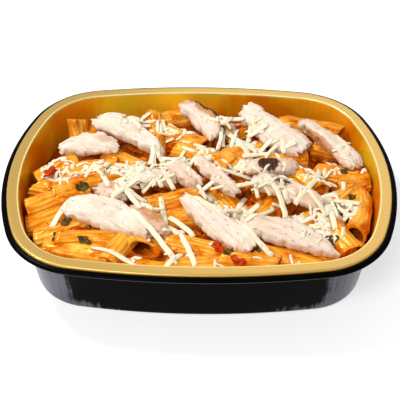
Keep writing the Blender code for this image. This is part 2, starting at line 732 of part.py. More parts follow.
def make_heap(hosted, ground, material):
    # The pasta in sauce as one body: core, mounds, tubes, cheese, herbs and tomato.
    heap = make_object("pasta", piece(make_core), material)
    parts = [piece(add_mound, row) for row in CHICKEN]
    parts += [piece(add_tube, row) for row in TUBES]
    parts += [piece(add_shred, shred, ground) for shred in hosted[None]]
    parts += [piece(add_leaf, row, ground) for row in LEAVES]
    parts += [piece(add_tomato, row, ground) for row in TOMATOES]
    combine(heap, "UNION", parts, material, "EXACT")
    room = []
    for number in range(len(CHICKEN)):
        room += room_for(number, hosted, ground)
    combine(heap, "DIFFERENCE", room, material, "EXACT")


def main():
    clear_objects()
    foil = make_material("lacquered_foil", TRAY_FINISH)
    sauce = make_material("pasta_in_sauce", PASTA_FINISH)
    meat = make_material("cooked_chicken", CHICKEN_FINISH)
    ground = ground_under_toppings()
    hosted = shreds_by_host()
    make_tray(foil)
    make_heap(hosted, ground, sauce)
    for number in range(len(CHICKEN)):
        make_chicken(number, hosted, ground, meat)


main()
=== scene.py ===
# Looks of a baked pasta dish with chicken strips and shredded cheese in a two-tone foil tray.
# Shapes are worked out in millimetres, as in the solids, and makePiece turns them into metres.

import math
import random

import bpy
import numpy as np
from mathutils import Matrix, Vector, noise
from mathutils.bvhtree import BVHTree


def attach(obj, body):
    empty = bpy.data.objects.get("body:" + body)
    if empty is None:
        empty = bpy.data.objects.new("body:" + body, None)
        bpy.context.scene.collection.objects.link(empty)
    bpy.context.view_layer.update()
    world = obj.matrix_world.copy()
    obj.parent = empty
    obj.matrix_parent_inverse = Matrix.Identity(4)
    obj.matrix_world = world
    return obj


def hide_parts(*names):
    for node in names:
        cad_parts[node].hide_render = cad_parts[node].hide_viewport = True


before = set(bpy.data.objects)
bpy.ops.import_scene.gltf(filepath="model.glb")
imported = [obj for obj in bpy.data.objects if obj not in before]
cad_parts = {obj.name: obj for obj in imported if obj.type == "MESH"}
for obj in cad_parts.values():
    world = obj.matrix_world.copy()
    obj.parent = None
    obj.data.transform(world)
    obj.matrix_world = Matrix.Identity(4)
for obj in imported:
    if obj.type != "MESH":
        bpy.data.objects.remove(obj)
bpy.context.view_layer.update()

mm = 0.001
wellAbove = 120.0
down = Vector((0.0, 0.0, -1.0))


# Small helpers.

def linear(code):
    # "#rrggbb" as seen on a screen, turned into linear values
    values = [int(code[i:i + 2], 16) / 255.0 for i in (1, 3, 5)]
    return [v / 12.92 if v <= 0.04045 else ((v + 0.055) / 1.055) ** 2.4 for v in values] + [1.0]


def clamp(value, low=0.0, high=1.0):
    return max(low, min(high, value))


def smoothStep(value, low, high):
    share = clamp((value - low) / (high - low))
    return share * share * (3.0 - 2.0 * share)


def smoothAt(values, share):
    # a smooth curve through evenly spaced values
    place = clamp(share) * (len(values) - 1)
    index = min(int(place), len(values) - 2)
    t = place - index
    a = values[max(index - 1, 0)]
    b = values[index]
    c = values[index + 1]
    d = values[min(index + 2, len(values) - 1)]
    return b + 0.5 * t * (c - a + t * (2 * a - 5 * b + 4 * c - d + t * (3 * (b - c) + d - a)))


def noiseAt(x, y, z):
    # soft noise from -1 to 1
    return noise.noise(Vector((x, y, z)))


def ripple(point, size, seed=0.0):
    # noise whose features are about size millimetres across
    return noiseAt(point[0] / size + seed, point[1] / size - seed, point[2] / size + 2.0 * seed)


def aroundAt(cell, cells):
    # angles round a ring, from straight below and counter-clockwise
    return 2.0 * math.pi * cell / cells - math.pi / 2.0


def turn(x, y, z, heading, tilt, roll=0.0):
    matrix = Matrix.Translation((x, y, z)) @ Matrix.Rotation(math.radians(heading), 4, "Z")
    matrix = matrix @ Matrix.Rotation(math.radians(-tilt), 4, "Y")
    return matrix @ Matrix.Rotation(math.radians(roll), 4, "X")


def newShape():
    return {"points": [], "faces": [], "uvs": [], "tints": [], "kinds": []}


def addRings(shape, rings, tints, kinds=None):
    # Skins rings that run counter-clockwise about the direction of travel, and closes both ends.
    # The UV map is in mm, along in U and around in V; its seam is at the first point of the rings.
    start = len(shape["points"])
    count = len(rings[0])
    middle = rings[len(rings) // 2]
    girth = sum((middle[i] - middle[i - 1]).length for i in range(count))
    along = [0.0]
    for first, second in zip(rings, rings[1:]):
        along.append(along[-1] + (second[0] - first[0]).length)
    for ring, tint in zip(rings, tints):
        shape["points"] += ring
        shape["tints"] += tint
    for row in range(len(rings) - 1):
        low = start + row * count
        high = low + count
        kind = kinds[row] if kinds else 0
        for cell in range(count):
            following = (cell + 1) % count
            shape["faces"].append((low + cell, low + following, high + following, high + cell))
            v0 = girth * cell / count
            v1 = girth * (cell + 1) / count
            shape["uvs"] += [(along[row], v0), (along[row], v1), (along[row + 1], v1), (along[row + 1], v0)]
            shape["kinds"].append(kind)
    for row, side in ((0, -1), (len(rings) - 1, 1)):
        ring = rings[row]
        tip = len(shape["points"])
        shape["points"].append(sum(ring, Vector()) / count)
        shape["tints"].append(tints[row][0])
        low = start + row * count
        for cell in range(count):
            corners = (low + cell, low + (cell + 1) % count, tip)
            shape["faces"].append(corners[::side])
            v0 = girth * cell / count
            shape["uvs"] += [(along[row], v0)] * 3
            shape["kinds"].append(kinds[min(row, len(kinds) - 1)] if kinds else 0)


def treeOf(*shapes):
    points = []
    faces = []
    for shape in shapes:
        start = len(points)
        points += shape["points"]
        faces += [[start + index for index in face] for face in shape["faces"]]
    return BVHTree.FromPolygons(points, faces)


def heightAt(tree, x, y):
    hit = tree.ray_cast(Vector((x, y, wellAbove)), down)[0]
    return hit.z if hit else 0.0


def makePiece(name, shape, materials, nodes):
    mesh = bpy.data.meshes.new(name)
    mesh.from_pydata([point * mm for point in shape["points"]], [], shape["faces"])
    flow = mesh.uv_layers.new(name="flow")
    flow.data.foreach_set("uv", np.array(shape["uvs"], dtype=np.float32).ravel())
    tint = mesh.attributes.new("tint", "FLOAT_COLOR", "POINT")
    tint.data.foreach_set("color", np.array(shape["tints"], dtype=np.float32).ravel())
    for material in materials:
        mesh.materials.append(material)
    mesh.polygons.foreach_set("material_index", shape["kinds"])
    mesh.polygons.foreach_set("use_smooth", [True] * len(mesh.polygons))
    mesh.update()
    piece = bpy.data.objects.new(name, mesh)
    bpy.context.scene.collection.objects.link(piece)
    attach(piece, "root")
    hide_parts(*nodes)
    print(f"{name}: {len(mesh.polygons)} faces")


# Helpers for nodes and materials.

def addNode(tree, kind, settings=None, inputs=None):
    node = tree.nodes.new(kind)
    for key, value in (settings or {}).items():
        setattr(node, key, value)
    for key, value in (inputs or {}).items():
        if isinstance(value, bpy.types.NodeSocket):
            tree.links.new(value, node.inputs[key])
        else:
            node.inputs[key].default_value = value
    return node


def mixColours(tree, factor, first, second):
    inputs = {0: factor, 6: first, 7: second}
    return addNode(tree, "ShaderNodeMix", {"data_type": "RGBA"}, inputs).outputs[2]


def calculate(tree, operation, first, second=0.0, third=0.0):
    inputs = {0: first, 1: second, 2: third}
    return addNode(tree, "ShaderNodeMath", {"operation": operation}, inputs).outputs[0]


def calculateVector(tree, operation, inputs):
    return addNode(tree, "ShaderNodeVectorMath", {"operation": operation}, inputs).outputs[0]


def rangeOf(tree, value, low, high, fromLow=0.0, fromHigh=1.0):
    inputs = {"Value": value, "From Min": fromLow, "From Max": fromHigh, "To Min": low, "To Max": high}
    return addNode(tree, "ShaderNodeMapRange", {"clamp": True}, inputs).outputs[0]


def shareOf(tree, value, low, high):
    # 0 at low and below, 1 at high and above
    return rangeOf(tree, value, 0.0, 1.0, low, high)


def placeInMm(tree):
    # the object's own place, in millimetres
    place = addNode(tree, "ShaderNodeTexCoord").outputs["Object"]
    return calculateVector(tree, "SCALE", {0: place, "Scale": 1.0 / mm})


def flowInMm(tree):
    return addNode(tree, "ShaderNodeUVMap", {"uv_map": "flow"}).outputs[0]


def grain(tree, vector, size, detail=3.0, rough=0.55, stretch=None):
    # noise whose features are size mm across, or stretch = (along, around) mm
    if stretch:
        share = (1.0 / stretch[0], 1.0 / stretch[1], 1.0)
        vector = calculateVector(tree, "MULTIPLY", {0: vector, 1: share})
        size = 1.0
    inputs = {"Vector": vector, "Scale": 1.0 / size, "Detail": detail, "Roughness": rough}
    return addNode(tree, "ShaderNodeTexNoise", None, inputs).outputs["Fac"]


def addBump(tree, shader, height, depth, strength=1.0, after=None):
    # depth is the relief in mm
    inputs = {"Height": height, "Distance": depth * mm, "Strength": strength}
    if after:
        inputs["Normal"] = after
    bump = addNode(tree, "ShaderNodeBump", None, inputs).outputs[0]
    tree.links.new(bump, shader.inputs["Normal"])
    return bump


def newMaterial(name, **values):
    material = bpy.data.materials.new(name)
    material.use_nodes = True
    tree = material.node_tree
    shader = tree.nodes["Principled BSDF"]
    for key, value in values.items():
        shader.inputs[key.replace("_", " ")].default_value = value
    return material, tree, shader


def feed(tree, shader, name, value):
    tree.links.new(value, shader.inputs[name])


def readTint(tree, *channels):
    # channels 0 to 2 are red, green and blue, and 3 is alpha
    tint = addNode(tree, "ShaderNodeAttribute", {"attribute_name": "tint"})
    parts = addNode(tree, "ShaderNodeSeparateColor", None, {0: tint.outputs["Color"]}).outputs
    sockets = (parts[0], parts[1], parts[2], tint.outputs["Alpha"])
    return [sockets[channel] for channel in channels]


# The tray: gold inside and on the flange, black outside.

tray = {
    "halfLength": 110.0, "halfWidth": 83.8,
    "longRadius": 456.0, "shortRadius": 144.0, "cornerRadius": 43.0,
    "longSteps": 18, "cornerSteps": 24, "shortSteps": 14,
    "height": 44.0, "wall": 0.8, "flange": 5.8, "bend": 0.6,
    "baseInset": 9.9, "fillet": 3.4, "hemReach": 3.3, "hemRadius": 0.65, "hemDrop": 2.4,
    "innerShares": (0.2, 0.4, 0.6, 0.8, 0.94, 0.985), "outerShares": (0.25, 0.5, 0.75),
    "beforeHem": ((0.02, 1.15), (0.25, 1.22), (0.9, 1.1), (1.6, 1.25)),
    "afterHem": ((0.6, 2.4), (-0.6, 1.9), (-3.4, 1.4)),
    "underLip": ((1.2, 1.45), (0.45, 1.9), (-0.1, 3.4)),
    "goldRows": 2, "shineRows": (4, 6),
}


def cornerArcs():
    # middles of the long, short and corner arcs; the corner touches both from inside
    longMiddle = Vector((0.0, tray["halfWidth"] - tray["longRadius"]))
    shortMiddle = Vector((tray["halfLength"] - tray["shortRadius"], 0.0))
    fromLong = tray["longRadius"] - tray["cornerRadius"]
    fromShort = tray["shortRadius"] - tray["cornerRadius"]
    line = shortMiddle - longMiddle
    apart = line.length
    along = (fromLong ** 2 - fromShort ** 2 + apart ** 2) / (2.0 * apart)
    across = math.sqrt(fromLong ** 2 - along ** 2)
    line.normalize()
    corner = longMiddle + line * along + Vector((line.y, -line.x)) * across
    return longMiddle, shortMiddle, corner


longMiddle, shortMiddle, cornerMiddle = cornerArcs()
longEnd = math.atan2(cornerMiddle.y - longMiddle.y, cornerMiddle.x - longMiddle.x)
shortEnd = math.atan2(cornerMiddle.y - shortMiddle.y, cornerMiddle.x - shortMiddle.x)


def outline(offset):
    # the tray's plan, counter-clockwise, every arc moved outwards by offset
    arcs = (
        (shortMiddle, tray["shortRadius"], 0.0, shortEnd, tray["shortSteps"]),
        (cornerMiddle, tray["cornerRadius"], shortEnd, longEnd, tray["cornerSteps"]),
        (longMiddle, tray["longRadius"], longEnd, math.pi / 2.0, tray["longSteps"]),
    )
    quarter = []
    for middle, radius, start, end, steps in arcs:
        for step in range(steps):
            angle = start + (end - start) * step / steps
            reach = radius + offset
            quarter.append((middle.x + reach * math.cos(angle), middle.y + reach * math.sin(angle)))
    upper = quarter + [(0.0, tray["halfWidth"] + offset)] + [(-x, y) for x, y in reversed(quarter)]
    return upper + [(-x, -y) for x, y in upper[1:-1]]


def wallOffset(height):
    top = -tray["flange"] - tray["bend"]
    foot = -tray["baseInset"] - tray["wall"]
    return top + (foot - top) * (tray["height"] - height) / (tray["height"] - tray["fillet"])


def planOffset(x, y):
    # how far a point of the plan lies outside the flange's outer edge
    point = Vector((abs(x), abs(y)))
    angle = math.atan2(point.y - cornerMiddle.y, point.x - cornerMiddle.x)
    if shortEnd < angle < longEnd:
        return (point - cornerMiddle).length - tray["cornerRadius"]
    fromLong = (point - longMiddle).length - tray["longRadius"]
    fromShort = (point - shortMiddle).length - tray["shortRadius"]
    return max(fromLong, fromShort)


def cornerShare(x, y, start=-0.08, full=0.3):
    # 1 in the middle of a drawn corner, falling to 0 on the long and short sides
    angle = math.atan2(abs(y) - cornerMiddle.y, abs(x) - cornerMiddle.x)
    share = (angle - shortEnd) / (longEnd - shortEnd)
    return smoothStep(min(share, 1.0 - share), start, full)


def arcPoints(middle, radius, start, end, steps):
    points = []
    for step in range(steps + 1):
        angle = math.radians(start + (end - start) * step / steps)
        points.append((middle[0] + radius * math.cos(angle), middle[1] + radius * math.sin(angle)))
    return points


def traySection():
    # The foil's section from the base up the inside, over the flange and the hem, and down the outside
    # to the base again: places outside the flange's edge, and heights. The pairs in tray are places and
    # drops below the top; those of underLip are measured from the flange's inner edge.
    height, wall, flange, bend = tray["height"], tray["wall"], tray["flange"], tray["bend"]
    inset, fillet = tray["baseInset"], tray["fillet"]
    inner = fillet - wall * 0.5
    inside = arcPoints((-inset - wall - inner, wall + inner), inner, 270.0, 360.0, 7)
    start = inside[-1][1]
    for share in tray["innerShares"]:
        level = start + (height - bend - start) * share
        inside.append((wallOffset(level), level))
    lip = arcPoints((-flange, height - bend), bend, 180.0, 90.0, 5)
    inside += lip + [(0.5 - flange, height), (-flange * 0.35, height)]
    inside += arcPoints((-bend, height - bend), bend, 90.0, 10.0, 5)
    hem = (tray["hemReach"] - tray["hemRadius"], height - tray["hemDrop"])
    roll = arcPoints(hem, tray["hemRadius"], 62.0, -150.0, 10)
    outside = [(place, height - drop) for place, drop in tray["beforeHem"]] + roll
    outside += [(place, height - drop) for place, drop in tray["afterHem"]]
    outside += [(place - flange, height - drop) for place, drop in tray["underLip"]]
    top = outside[-1]
    for share in tray["outerShares"]:
        outside.append((top[0] + (-inset - top[0]) * share, top[1] + (fillet - top[1]) * share))
    outside += arcPoints((-inset - fillet, fillet), fillet, 0.0, -90.0, 7)
    # the lip and these rows of the hem are given painted highlights in makeTray
    return inside, outside, lip, roll[slice(*tray["shineRows"])]


def makeTray(gold, black):
    inside, outside, lip, shine = traySection()
    section = (inside + outside)[::-1]
    rings = [[Vector((x, y, level)) for x, y in outline(offset)] for offset, level in section]
    blackRows = len(outside) - tray["goldRows"]
    count = len(rings[0])
    deeper = [(cornerShare(x, y), 0.0, 0.0, 1.0) for x, y in outline(0.0)]
    # red: grey foil streaks at the drawn corners, partly thin lacquer and partly painted reflection; green:
    # how far round the corners a painted reflection of the floor runs along the foot
    drawnCornersAndReflection = [(cornerShare(x, y), cornerShare(x, y, -1.0, 0.1), 0.0, 1.0) for x, y in outline(0.0)]
    tints = []
    for row, point in enumerate(section):
        # the rows of the lip get green: a painted highlight along the flange's inner bend
        if point in lip:
            tints.append([(0.0, 1.0, 0.0, 1.0)] * count)
        # the lower rows of the hem get blue: a painted highlight along the hem's lower edge
        elif point in shine:
            tints.append([(0.0, 0.0, 1.0, 1.0)] * count)
        # the gold rows where the flange turns down get alpha 0: painted shade
        elif point in outside[:tray["goldRows"]]:
            tints.append([(0.0, 0.0, 0.0, 0.0)] * count)
        elif point[0] < -tray["flange"]:
            tints.append(drawnCornersAndReflection if row < blackRows else deeper)
        else:
            tints.append([(0.0, 0.0, 0.0, 1.0)] * count)
    shape = newShape()
    kinds = [1 if row < blackRows else 0 for row in range(len(section))]
    addRings(shape, rings, tints, kinds)
    makePiece("tray_foil", shape, [gold, black], ["tray"])


# Tables of the food, in millimetres and degrees. The strips stand as in the solids. So do the tubes but
# for the tenth, which is shorter here, because its hidden end would fill an open mouth. The last two
# shreds, the leaves, the tomatoes and the clusters are set out here.

# name, x, y, top, heading, tilt, roll, length, widths at start, middle and end, depth, bend
strips = (
    ("back_left", -43, 37, 44.5, -36, -2, 8, 54, (14, 16, 5), 8, 3),
    ("back", 1, 53, 45.0, -54, -4, 12, 38, (12, 16, 14), 8, 2),
    ("back_right", 45, 43, 45.0, -48, -3, 14, 53, (14, 20, 17), 9, -2),
    ("rim_right", 79, 32, 43.5, -54, -2, 0, 53, (8, 12, 13), 7, 2),
    ("front_left", -50, -36, 43.5, -22, -2, 14, 53, (15, 21, 13), 9, 3),
    ("long_middle", 10, -40, 43.5, -43, -3, 8, 54, (8, 15, 16), 8, -2),
    ("front_right", 50, -51, 43.5, -22, -4, 10, 56, (12, 18, 4), 8, 4),
    ("middle", 10, -3, 44.5, -50, -3, 0, 38, (8, 10, 8), 6, 0),
    ("peppered", 51, -14, 43.5, -28, -4, 6, 44, (13, 14, 9), 7, 2),
    ("grilled", 42, 7, 43.5, 4, 0, 10, 33, (7, 13, 10), 7, 1),
    ("left", -68, 27, 42.5, 6, 1, 16, 36, (7, 17, 11), 7, 3),
    ("browned", -27, -38, 42.5, -46, -6, 0, 29, (12, 12, 7), 7, 0),
    ("shaded", -8, -2, 44.5, -42, -4, 0, 25, (12, 12, 9), 7, 0),
    ("under_cheese", -50, -15, 42.5, -16, 0, 8, 20, (11, 14, 11), 7, 0),
    ("centre_left", -26, -4, 43.5, -6, 0, 0, 26, (9, 11, 8), 6, 0),
)

# x, y, top, heading, tilt, length, slant of the cut, squash, ends with an open mouth (1 start, 2 end)
tubes = (
    (-84, -18, 39, 23, 2, 38, 0.1, 0.2, 1), (-82, -28, 35, 26, 3, 34, 0.2, 0.45, 1),
    (-70, -7, 41, 28, 2, 32, 0.5, 0.2, 0), (-83, -6, 36, -12, -6, 24, 0.7, 0.1, 1),
    (-76, -39, 36, 26, 5, 32, 0.2, 0.1, 1), (-61, -47, 37, 2, 0, 34, 0.2, 0.1, 0),
    (-66, -58, 34, -11, 0, 42, 0.4, 0.25, 1), (-43, -52, 37, 62, 4, 26, 0.1, 0.1, 2),
    (-36, -43, 36, 112, -16, 30, 0.9, 0.15, 1), (-16, -47, 35, 14, 4, 20, 0.1, 0.1, 0),
    (-1, -52, 37, -12, -3, 34, 0.2, 0.1, 0), (0, -65, 35, 6, -2, 36, 0.3, 0.1, 0),
    (-26, -66, 33, -4, 0, 30, 0.2, 0.1, 0), (28, -63, 38, -6, -2, 31, 0.3, -0.1, 1),
    (50, -62, 36, -16, -4, 36, 0.3, 0.1, 0), (66, -56, 35, -54, -4, 28, 0.2, 0.1, 0),
    (83, -47, 38, -62, 0, 34, 0.1, 0.1, 0), (70, -43, 37, -110, -10, 26, 0.2, 0.1, 1),
    (91, -26, 39, 76, -6, 38, 0.3, -0.1, 1), (94, 0, 38, 24, 4, 20, 0.1, 0, 2),
    (82, -11, 36, 42, 4, 26, 0.2, 0, 0), (70, 52, 41, -15, 0, 40, 0.4, 0, 2),
    (88, 37, 37, -20, -2, 24, 0.2, 0.1, 0), (82, 10, 37, -16, 0, 26, 0.2, 0.1, 2),
    (95, 17, 35, 60, 0, 24, 0.2, 0.1, 0), (-28, 43, 41, 94, 18, 32, 0.3, -0.1, 2),
    (-10, 40, 40, -28, 0, 30, 0.2, 0.1, 2), (-18, 62, 39, 14, 0, 26, 0.2, 0.1, 0),
    (3, 21, 41, -28, 2, 38, 0.2, 0.1, 2), (24, 14, 40, -31, -2, 30, 0.8, 0.2, 0),
    (23, 51, 38, 16, 0, 30, 0.2, 0.1, 0), (26, 30, 37, 22, 0, 26, 0.2, 0.3, 0),
    (61, 4, 40, -52, 0, 30, 0.2, 0.1, 0), (-77, 45, 37, 96, 55, 26, 0.1, -0.1, 2),
    (-66, 50, 36, 20, 0, 28, 0.2, 0.1, 0), (-86, 14, 36, 34, 8, 28, 0.1, 0.1, 1),
    (-66, 13, 37, 8, 2, 34, 0.2, 0.1, 2), (-14, -16, 39, 20, 2, 34, 0.2, 0.1, 0),
    (-10, -29, 37, 10, 4, 28, 0.2, 0.1, 0), (33, -24, 36, 40, 0, 30, 0.2, 0.1, 0),
    (64, -29, 37, 36, 0, 32, 0.2, 0.1, 0), (-50, 4, 38, 24, 0, 32, 0.2, 0.1, 0),
    (-44, 20, 36, -30, 0, 30, 0.2, 0.1, 2), (50, 22, 37, 12, 0, 32, 0.2, 0.1, 0),
    (-5, 66, 34, -10, 0, 30, 0.2, 0.1, 0), (18, -16, 36, -56, 0, 30, 0.2, 0.1, 0),
)

# x, y, heading, length, bow
shreds = (
    (-39, -15, 44, 29, 2), (-39, -21, -61, 27, -1), (-24, -51, -50, 38, 1), (-20, -29, -80, 20, 0),
    (-9, -52, -62, 36, 2), (-9, -40, -46, 20, 1), (-42, -63, -29, 34, 1), (-13, -65, 56, 16, 0),
    (-77, -32, 65, 20, 0), (22, 1, 1, 23, 0), (23, -23, 73, 26, 0), (28, -30, 57, 23, 0),
    (29, -50, -55, 34, -2), (44, -22, -77, 38, 2), (35, -34, 50, 26, -3), (4, -28, -40, 24, 0),
    (11, -18, -58, 30, 0), (64, -8, 63, 38, -3), (71, -21, -76, 18, 0), (74, -30, -85, 25, 0),
    (20, 51, -3, 16, -2), (24, 33, -56, 31, 0), (-57, -3, -63, 25, 1), (-38, -2, 14, 20, 2),
    (-41, 45, -57, 18, 0), (-66, 8, 40, 22, 0), (-14, 10, -30, 20, 1), (36, 22, 20, 22, 0),
    (84, -20, -20, 16, 0), (66, -24, -58, 20, 1), (75, -22, -80, 22, 0),
)

# x, y, spread, count, shortest, longest
shredClusters = (
    (-84, 10, 9, 13, 4, 9), (-80, -2, 5, 6, 4, 8), (-70, 4, 7, 7, 5, 10), (-56, 6, 7, 9, 7, 14),
    (-44, 8, 8, 12, 8, 16), (-36, 0, 8, 13, 8, 16), (-28, 12, 8, 12, 8, 16), (-16, 12, 9, 12, 7, 15),
    (-21, -5, 7, 6, 7, 14), (-42, -15, 7, 7, 9, 18), (-31, -10, 6, 6, 8, 15), (-4, 14, 8, 7, 6, 13),
    (-48, 50, 6, 7, 5, 12), (-36, 47, 5, 5, 5, 10), (62, -35, 8, 11, 5, 12), (72, -44, 6, 7, 5, 11),
    (82, -31, 6, 6, 5, 11), (76, -17, 6, 4, 6, 12), (80, -8, 6, 7, 5, 10), (68, 4, 6, 5, 5, 10),
    (85, -23, 4, 4, 4, 8), (48, -18, 5, 4, 6, 12), (18, 42, 6, 7, 7, 14), (30, 43, 6, 5, 7, 14),
    (17, 32, 6, 5, 6, 12), (31, 29, 7, 7, 7, 14), (46, 27, 7, 6, 7, 14), (12, 50, 5, 5, 5, 10),
    (0, 22, 6, 5, 6, 12), (17, -27, 8, 6, 8, 16), (6, -24, 5, 3, 6, 12), (-27, -31, 4, 3, 6, 12),
    (-16, -45, 5, 3, 5, 10), (96, 9, 3, 2, 4, 8), (-60, 36, 4, 2, 5, 9), (52, -58, 9, 2, 5, 9),
    (-20, 47, 7, 7, 4, 9), (-8, 38, 7, 6, 4, 9), (-52, 54, 5, 5, 6, 12), (24, 5, 7, 6, 6, 14),
    (34, -12, 6, 5, 9, 17), (8, -14, 6, 5, 7, 14), (86, 22, 6, 4, 4, 8),
)

# x, y, spread, count
crumbClusters = (
    (-85, 9, 9, 14), (-80, -1, 8, 6), (62, -34, 9, 22), (80, -26, 8, 11), (-42, 49, 8, 8),
    (50, -12, 8, 10), (13, 46, 9, 8), (60, 4, 7, 7), (0, 12, 18, 14), (-34, 4, 16, 22),
    (-20, -60, 14, 8), (48, -62, 16, 7), (84, 6, 8, 5), (30, 40, 12, 7),
    (-20, 44, 10, 14), (12, -60, 20, 9), (40, -4, 14, 12), (-60, 8, 12, 10), (80, 16, 8, 7),
)

# x, y, heading, length, width
leaves = (
    (55, 62, 10, 13, 8), (78, -23, 80, 11, 4), (-67, -12, 30, 8, 6), (-85, -11, 60, 7, 5),
    (-74, -37, 70, 7, 6), (72, -49, 10, 10, 5), (89, -13, -20, 6, 4), (34, 21, -20, 9, 4),
    (-78, -47, 70, 8, 4), (-62, -51, -20, 8, 3.5), (-77, -61, 10, 4, 2.5), (16, -61, 30, 6, 4),
    (86, 8, 40, 5, 4), (33, -57, 60, 6, 4),
)
tomatoes = (
    (-89, 8, 60, 10, 6), (-69, -42, 10, 14, 5), (11, -56, -60, 9, 6), (21, -66, -40, 9, 7),
    (24, 49, 40, 5, 3), (-20, 33, 10, 7, 5), (29, -19, 40, 9, 6), (4, -72, 0, 8, 4),
    (-97, 3, 80, 6, 4), (27, -13, -40, 5, 4),
)

core = {"top": 31.0, "halfLength": 98.0, "halfWidth": 72.0, "levelShare": 0.72, "edgeDrop": 9.0, "bump": 1.6}


def coreHeight(x, y):
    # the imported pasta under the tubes: level in the middle, lower towards the wall
    reach = (abs(x / core["halfLength"]) ** 3 + abs(y / core["halfWidth"]) ** 3) ** (1.0 / 3.0)
    drop = core["edgeDrop"] * max(0.0, reach - core["levelShare"]) / (1.0 - core["levelShare"])
    return core["top"] - drop + core["bump"] * math.sin(x * 0.31 + y * 0.12) * math.cos(y * 0.27 - x * 0.07)


def clearOfWall(points, clearance=0.9):
    # how far a piece moves inwards until all its points clear the wall
    move = Vector((0.0, 0.0, 0.0))
    for attempt in range(4):
        worst = 0.0
        push = Vector((0.0, 0.0, 0.0))
        for point in points:
            x, y, z = point + move
            over = planOffset(x, y) - wallOffset(min(z, tray["height"])) + clearance
            if over > worst:
                worst = over
                push = Vector((-x / tray["halfLength"] ** 2, -y / tray["halfWidth"] ** 2, 0.0)).normalized()
        move += push * worst
    return move


# Pasta tubes.

tubeForm = {
    "radius": 6.6, "wall": 1.7, "ridges": 14, "cells": 72, "stations": 15,
    "ridgeDepth": 0.62, "spread": 0.35, "drop": 0.6, "uneven": 0.8, "bow": 1.3,
    "coating": 0.7, "clean": (0.35, 1.0), "shaded": 0.4, "rim": 0.45, "openDepth": 0.92, "shutDepth": 0.35,
    "swell": ((14.0, 0.0), (14.0, 9.0), (11.0, 18.0)),
}


def addTube(shape, row, number):
    x, y, top, heading, tilt, length, slant, squash, mouths = row
    form = tubeForm
    draw = random.Random(400 + number)
    radius = form["radius"]
    half = length * 0.5
    placing = turn(x, y, top - radius * (1.0 - form["drop"] * squash), heading, tilt)
    seed = draw.uniform(0.0, 60.0)
    turned = draw.uniform(0.0, 6.28)
    bow = draw.uniform(-form["bow"], form["bow"])
    tone = draw.uniform(0.0, 1.0)
    clean = draw.uniform(*form["clean"])

    def placed(along, r, angle):
        across = r * (1.0 + form["spread"] * squash) * math.cos(angle)
        up = r * (1.0 - form["drop"] * squash) * math.sin(angle)
        share = along / half
        return placing @ Vector((along + slant * across, across + bow * (0.5 - share * share), up))

    def pointsAt(along, reach, ridged):
        points = []
        tints = []
        for cell in range(form["cells"]):
            angle = aroundAt(cell, form["cells"])
            bare = placed(along, reach, angle)
            cover = clamp(0.48 + 0.85 * ripple(bare, 9.0, 3.0) + 0.45 * ripple(bare, 3.4, 7.0))
            clump = smoothStep(cover, 0.42, 0.85)
            # undersides take more of the dark sauce colour: painted shade
            shaded = clamp(0.3 - math.sin(angle)) * form["shaded"]
            ridge = 0.3
            # inside the bore this falls towards the depth, which the material paints dark brown: painted
            # shade
            outer = clamp(1.0 - (half - abs(along)) / 5.0)
            r = reach
            if ridged:
                sway = 0.35 * ripple(bare, 12.0, seed + 4.0)
                wave = 0.5 + 0.5 * math.cos(form["ridges"] * angle + turned + sway)
                ridge = 1.0 - (1.0 - wave) * clean * (1.0 - 0.75 * clump)
                outer = 1.0
                r += form["coating"] * clump - form["ridgeDepth"] * (1.0 - ridge) ** 1.3
            point = placed(along, r, angle)
            swell = [ripple(point, size, seed + shift) for size, shift in form["swell"]]
            points.append(point + form["uneven"] * Vector(swell))
            tints.append((ridge, tone, clamp(cover + shaded, 0.0, 1.6), outer))
        return points, tints

    # the skin runs out of the bore at the start, along the outside and back into the bore at the end
    bore = radius - form["wall"]
    opens = {-1: mouths & 1, 1: mouths & 2}
    path = []
    for side in (-1, 1):
        depth = half * (form["openDepth"] if opens[side] else form["shutDepth"])
        inside = [
            (side * (half - depth), bore * 0.9, False),
            (side * (half - depth * 0.5), bore * 0.97, False),
            (side * (half - 0.5), bore, False),
            (side * (half - 0.08), bore + 0.32, False),
            (side * half, bore + 0.75, False),
            (side * (half - 0.06), radius - form["rim"], True),
        ]
        path.append(inside if side < 0 else inside[::-1])
    outer = []
    for station in range(form["stations"]):
        share = station / (form["stations"] - 1)
        outer.append(((share * 2.0 - 1.0) * (half - form["rim"]), radius, True))
    rings = []
    tints = []
    for along, reach, ridged in path[0] + outer + path[1]:
        points, colours = pointsAt(along, reach, ridged)
        rings.append(points)
        tints.append(colours)
    tried = (rings[6], rings[-7], rings[len(rings) // 2])
    move = clearOfWall([point for ring in tried for point in ring[::6]])
    rings = [[point + move for point in ring] for ring in rings]
    addRings(shape, rings, tints)
    middle = placing @ Vector((0.0, 0.0, 0.0)) + move
    lips = [placing @ Vector((side * half, 0.0, 0.0)) + move for side in (-1, 1) if opens[side]]
    return [(lip, (lip - middle).normalized(), bore) for lip in lips]


# Sauce between and under the tubes.

sauceForm = {
    "cell": 1.0, "blur": 1.8, "sink": 2.2, "rings": 84, "waves": ((4.2, 0.9), (1.7, 0.4)),
    "lumps": 1500, "lumpSize": (0.9, 3.0), "seed": 31,
    "mouthDepth": 11.0, "mouthReach": 4.0, "mouthSlope": 0.12, "gap": 0.35,
}


def blurred(field, kernel, axis):
    size = len(kernel) // 2
    return np.apply_along_axis(
        lambda row: np.convolve(np.pad(row, size, mode="edge"), kernel, "valid"), axis, field)


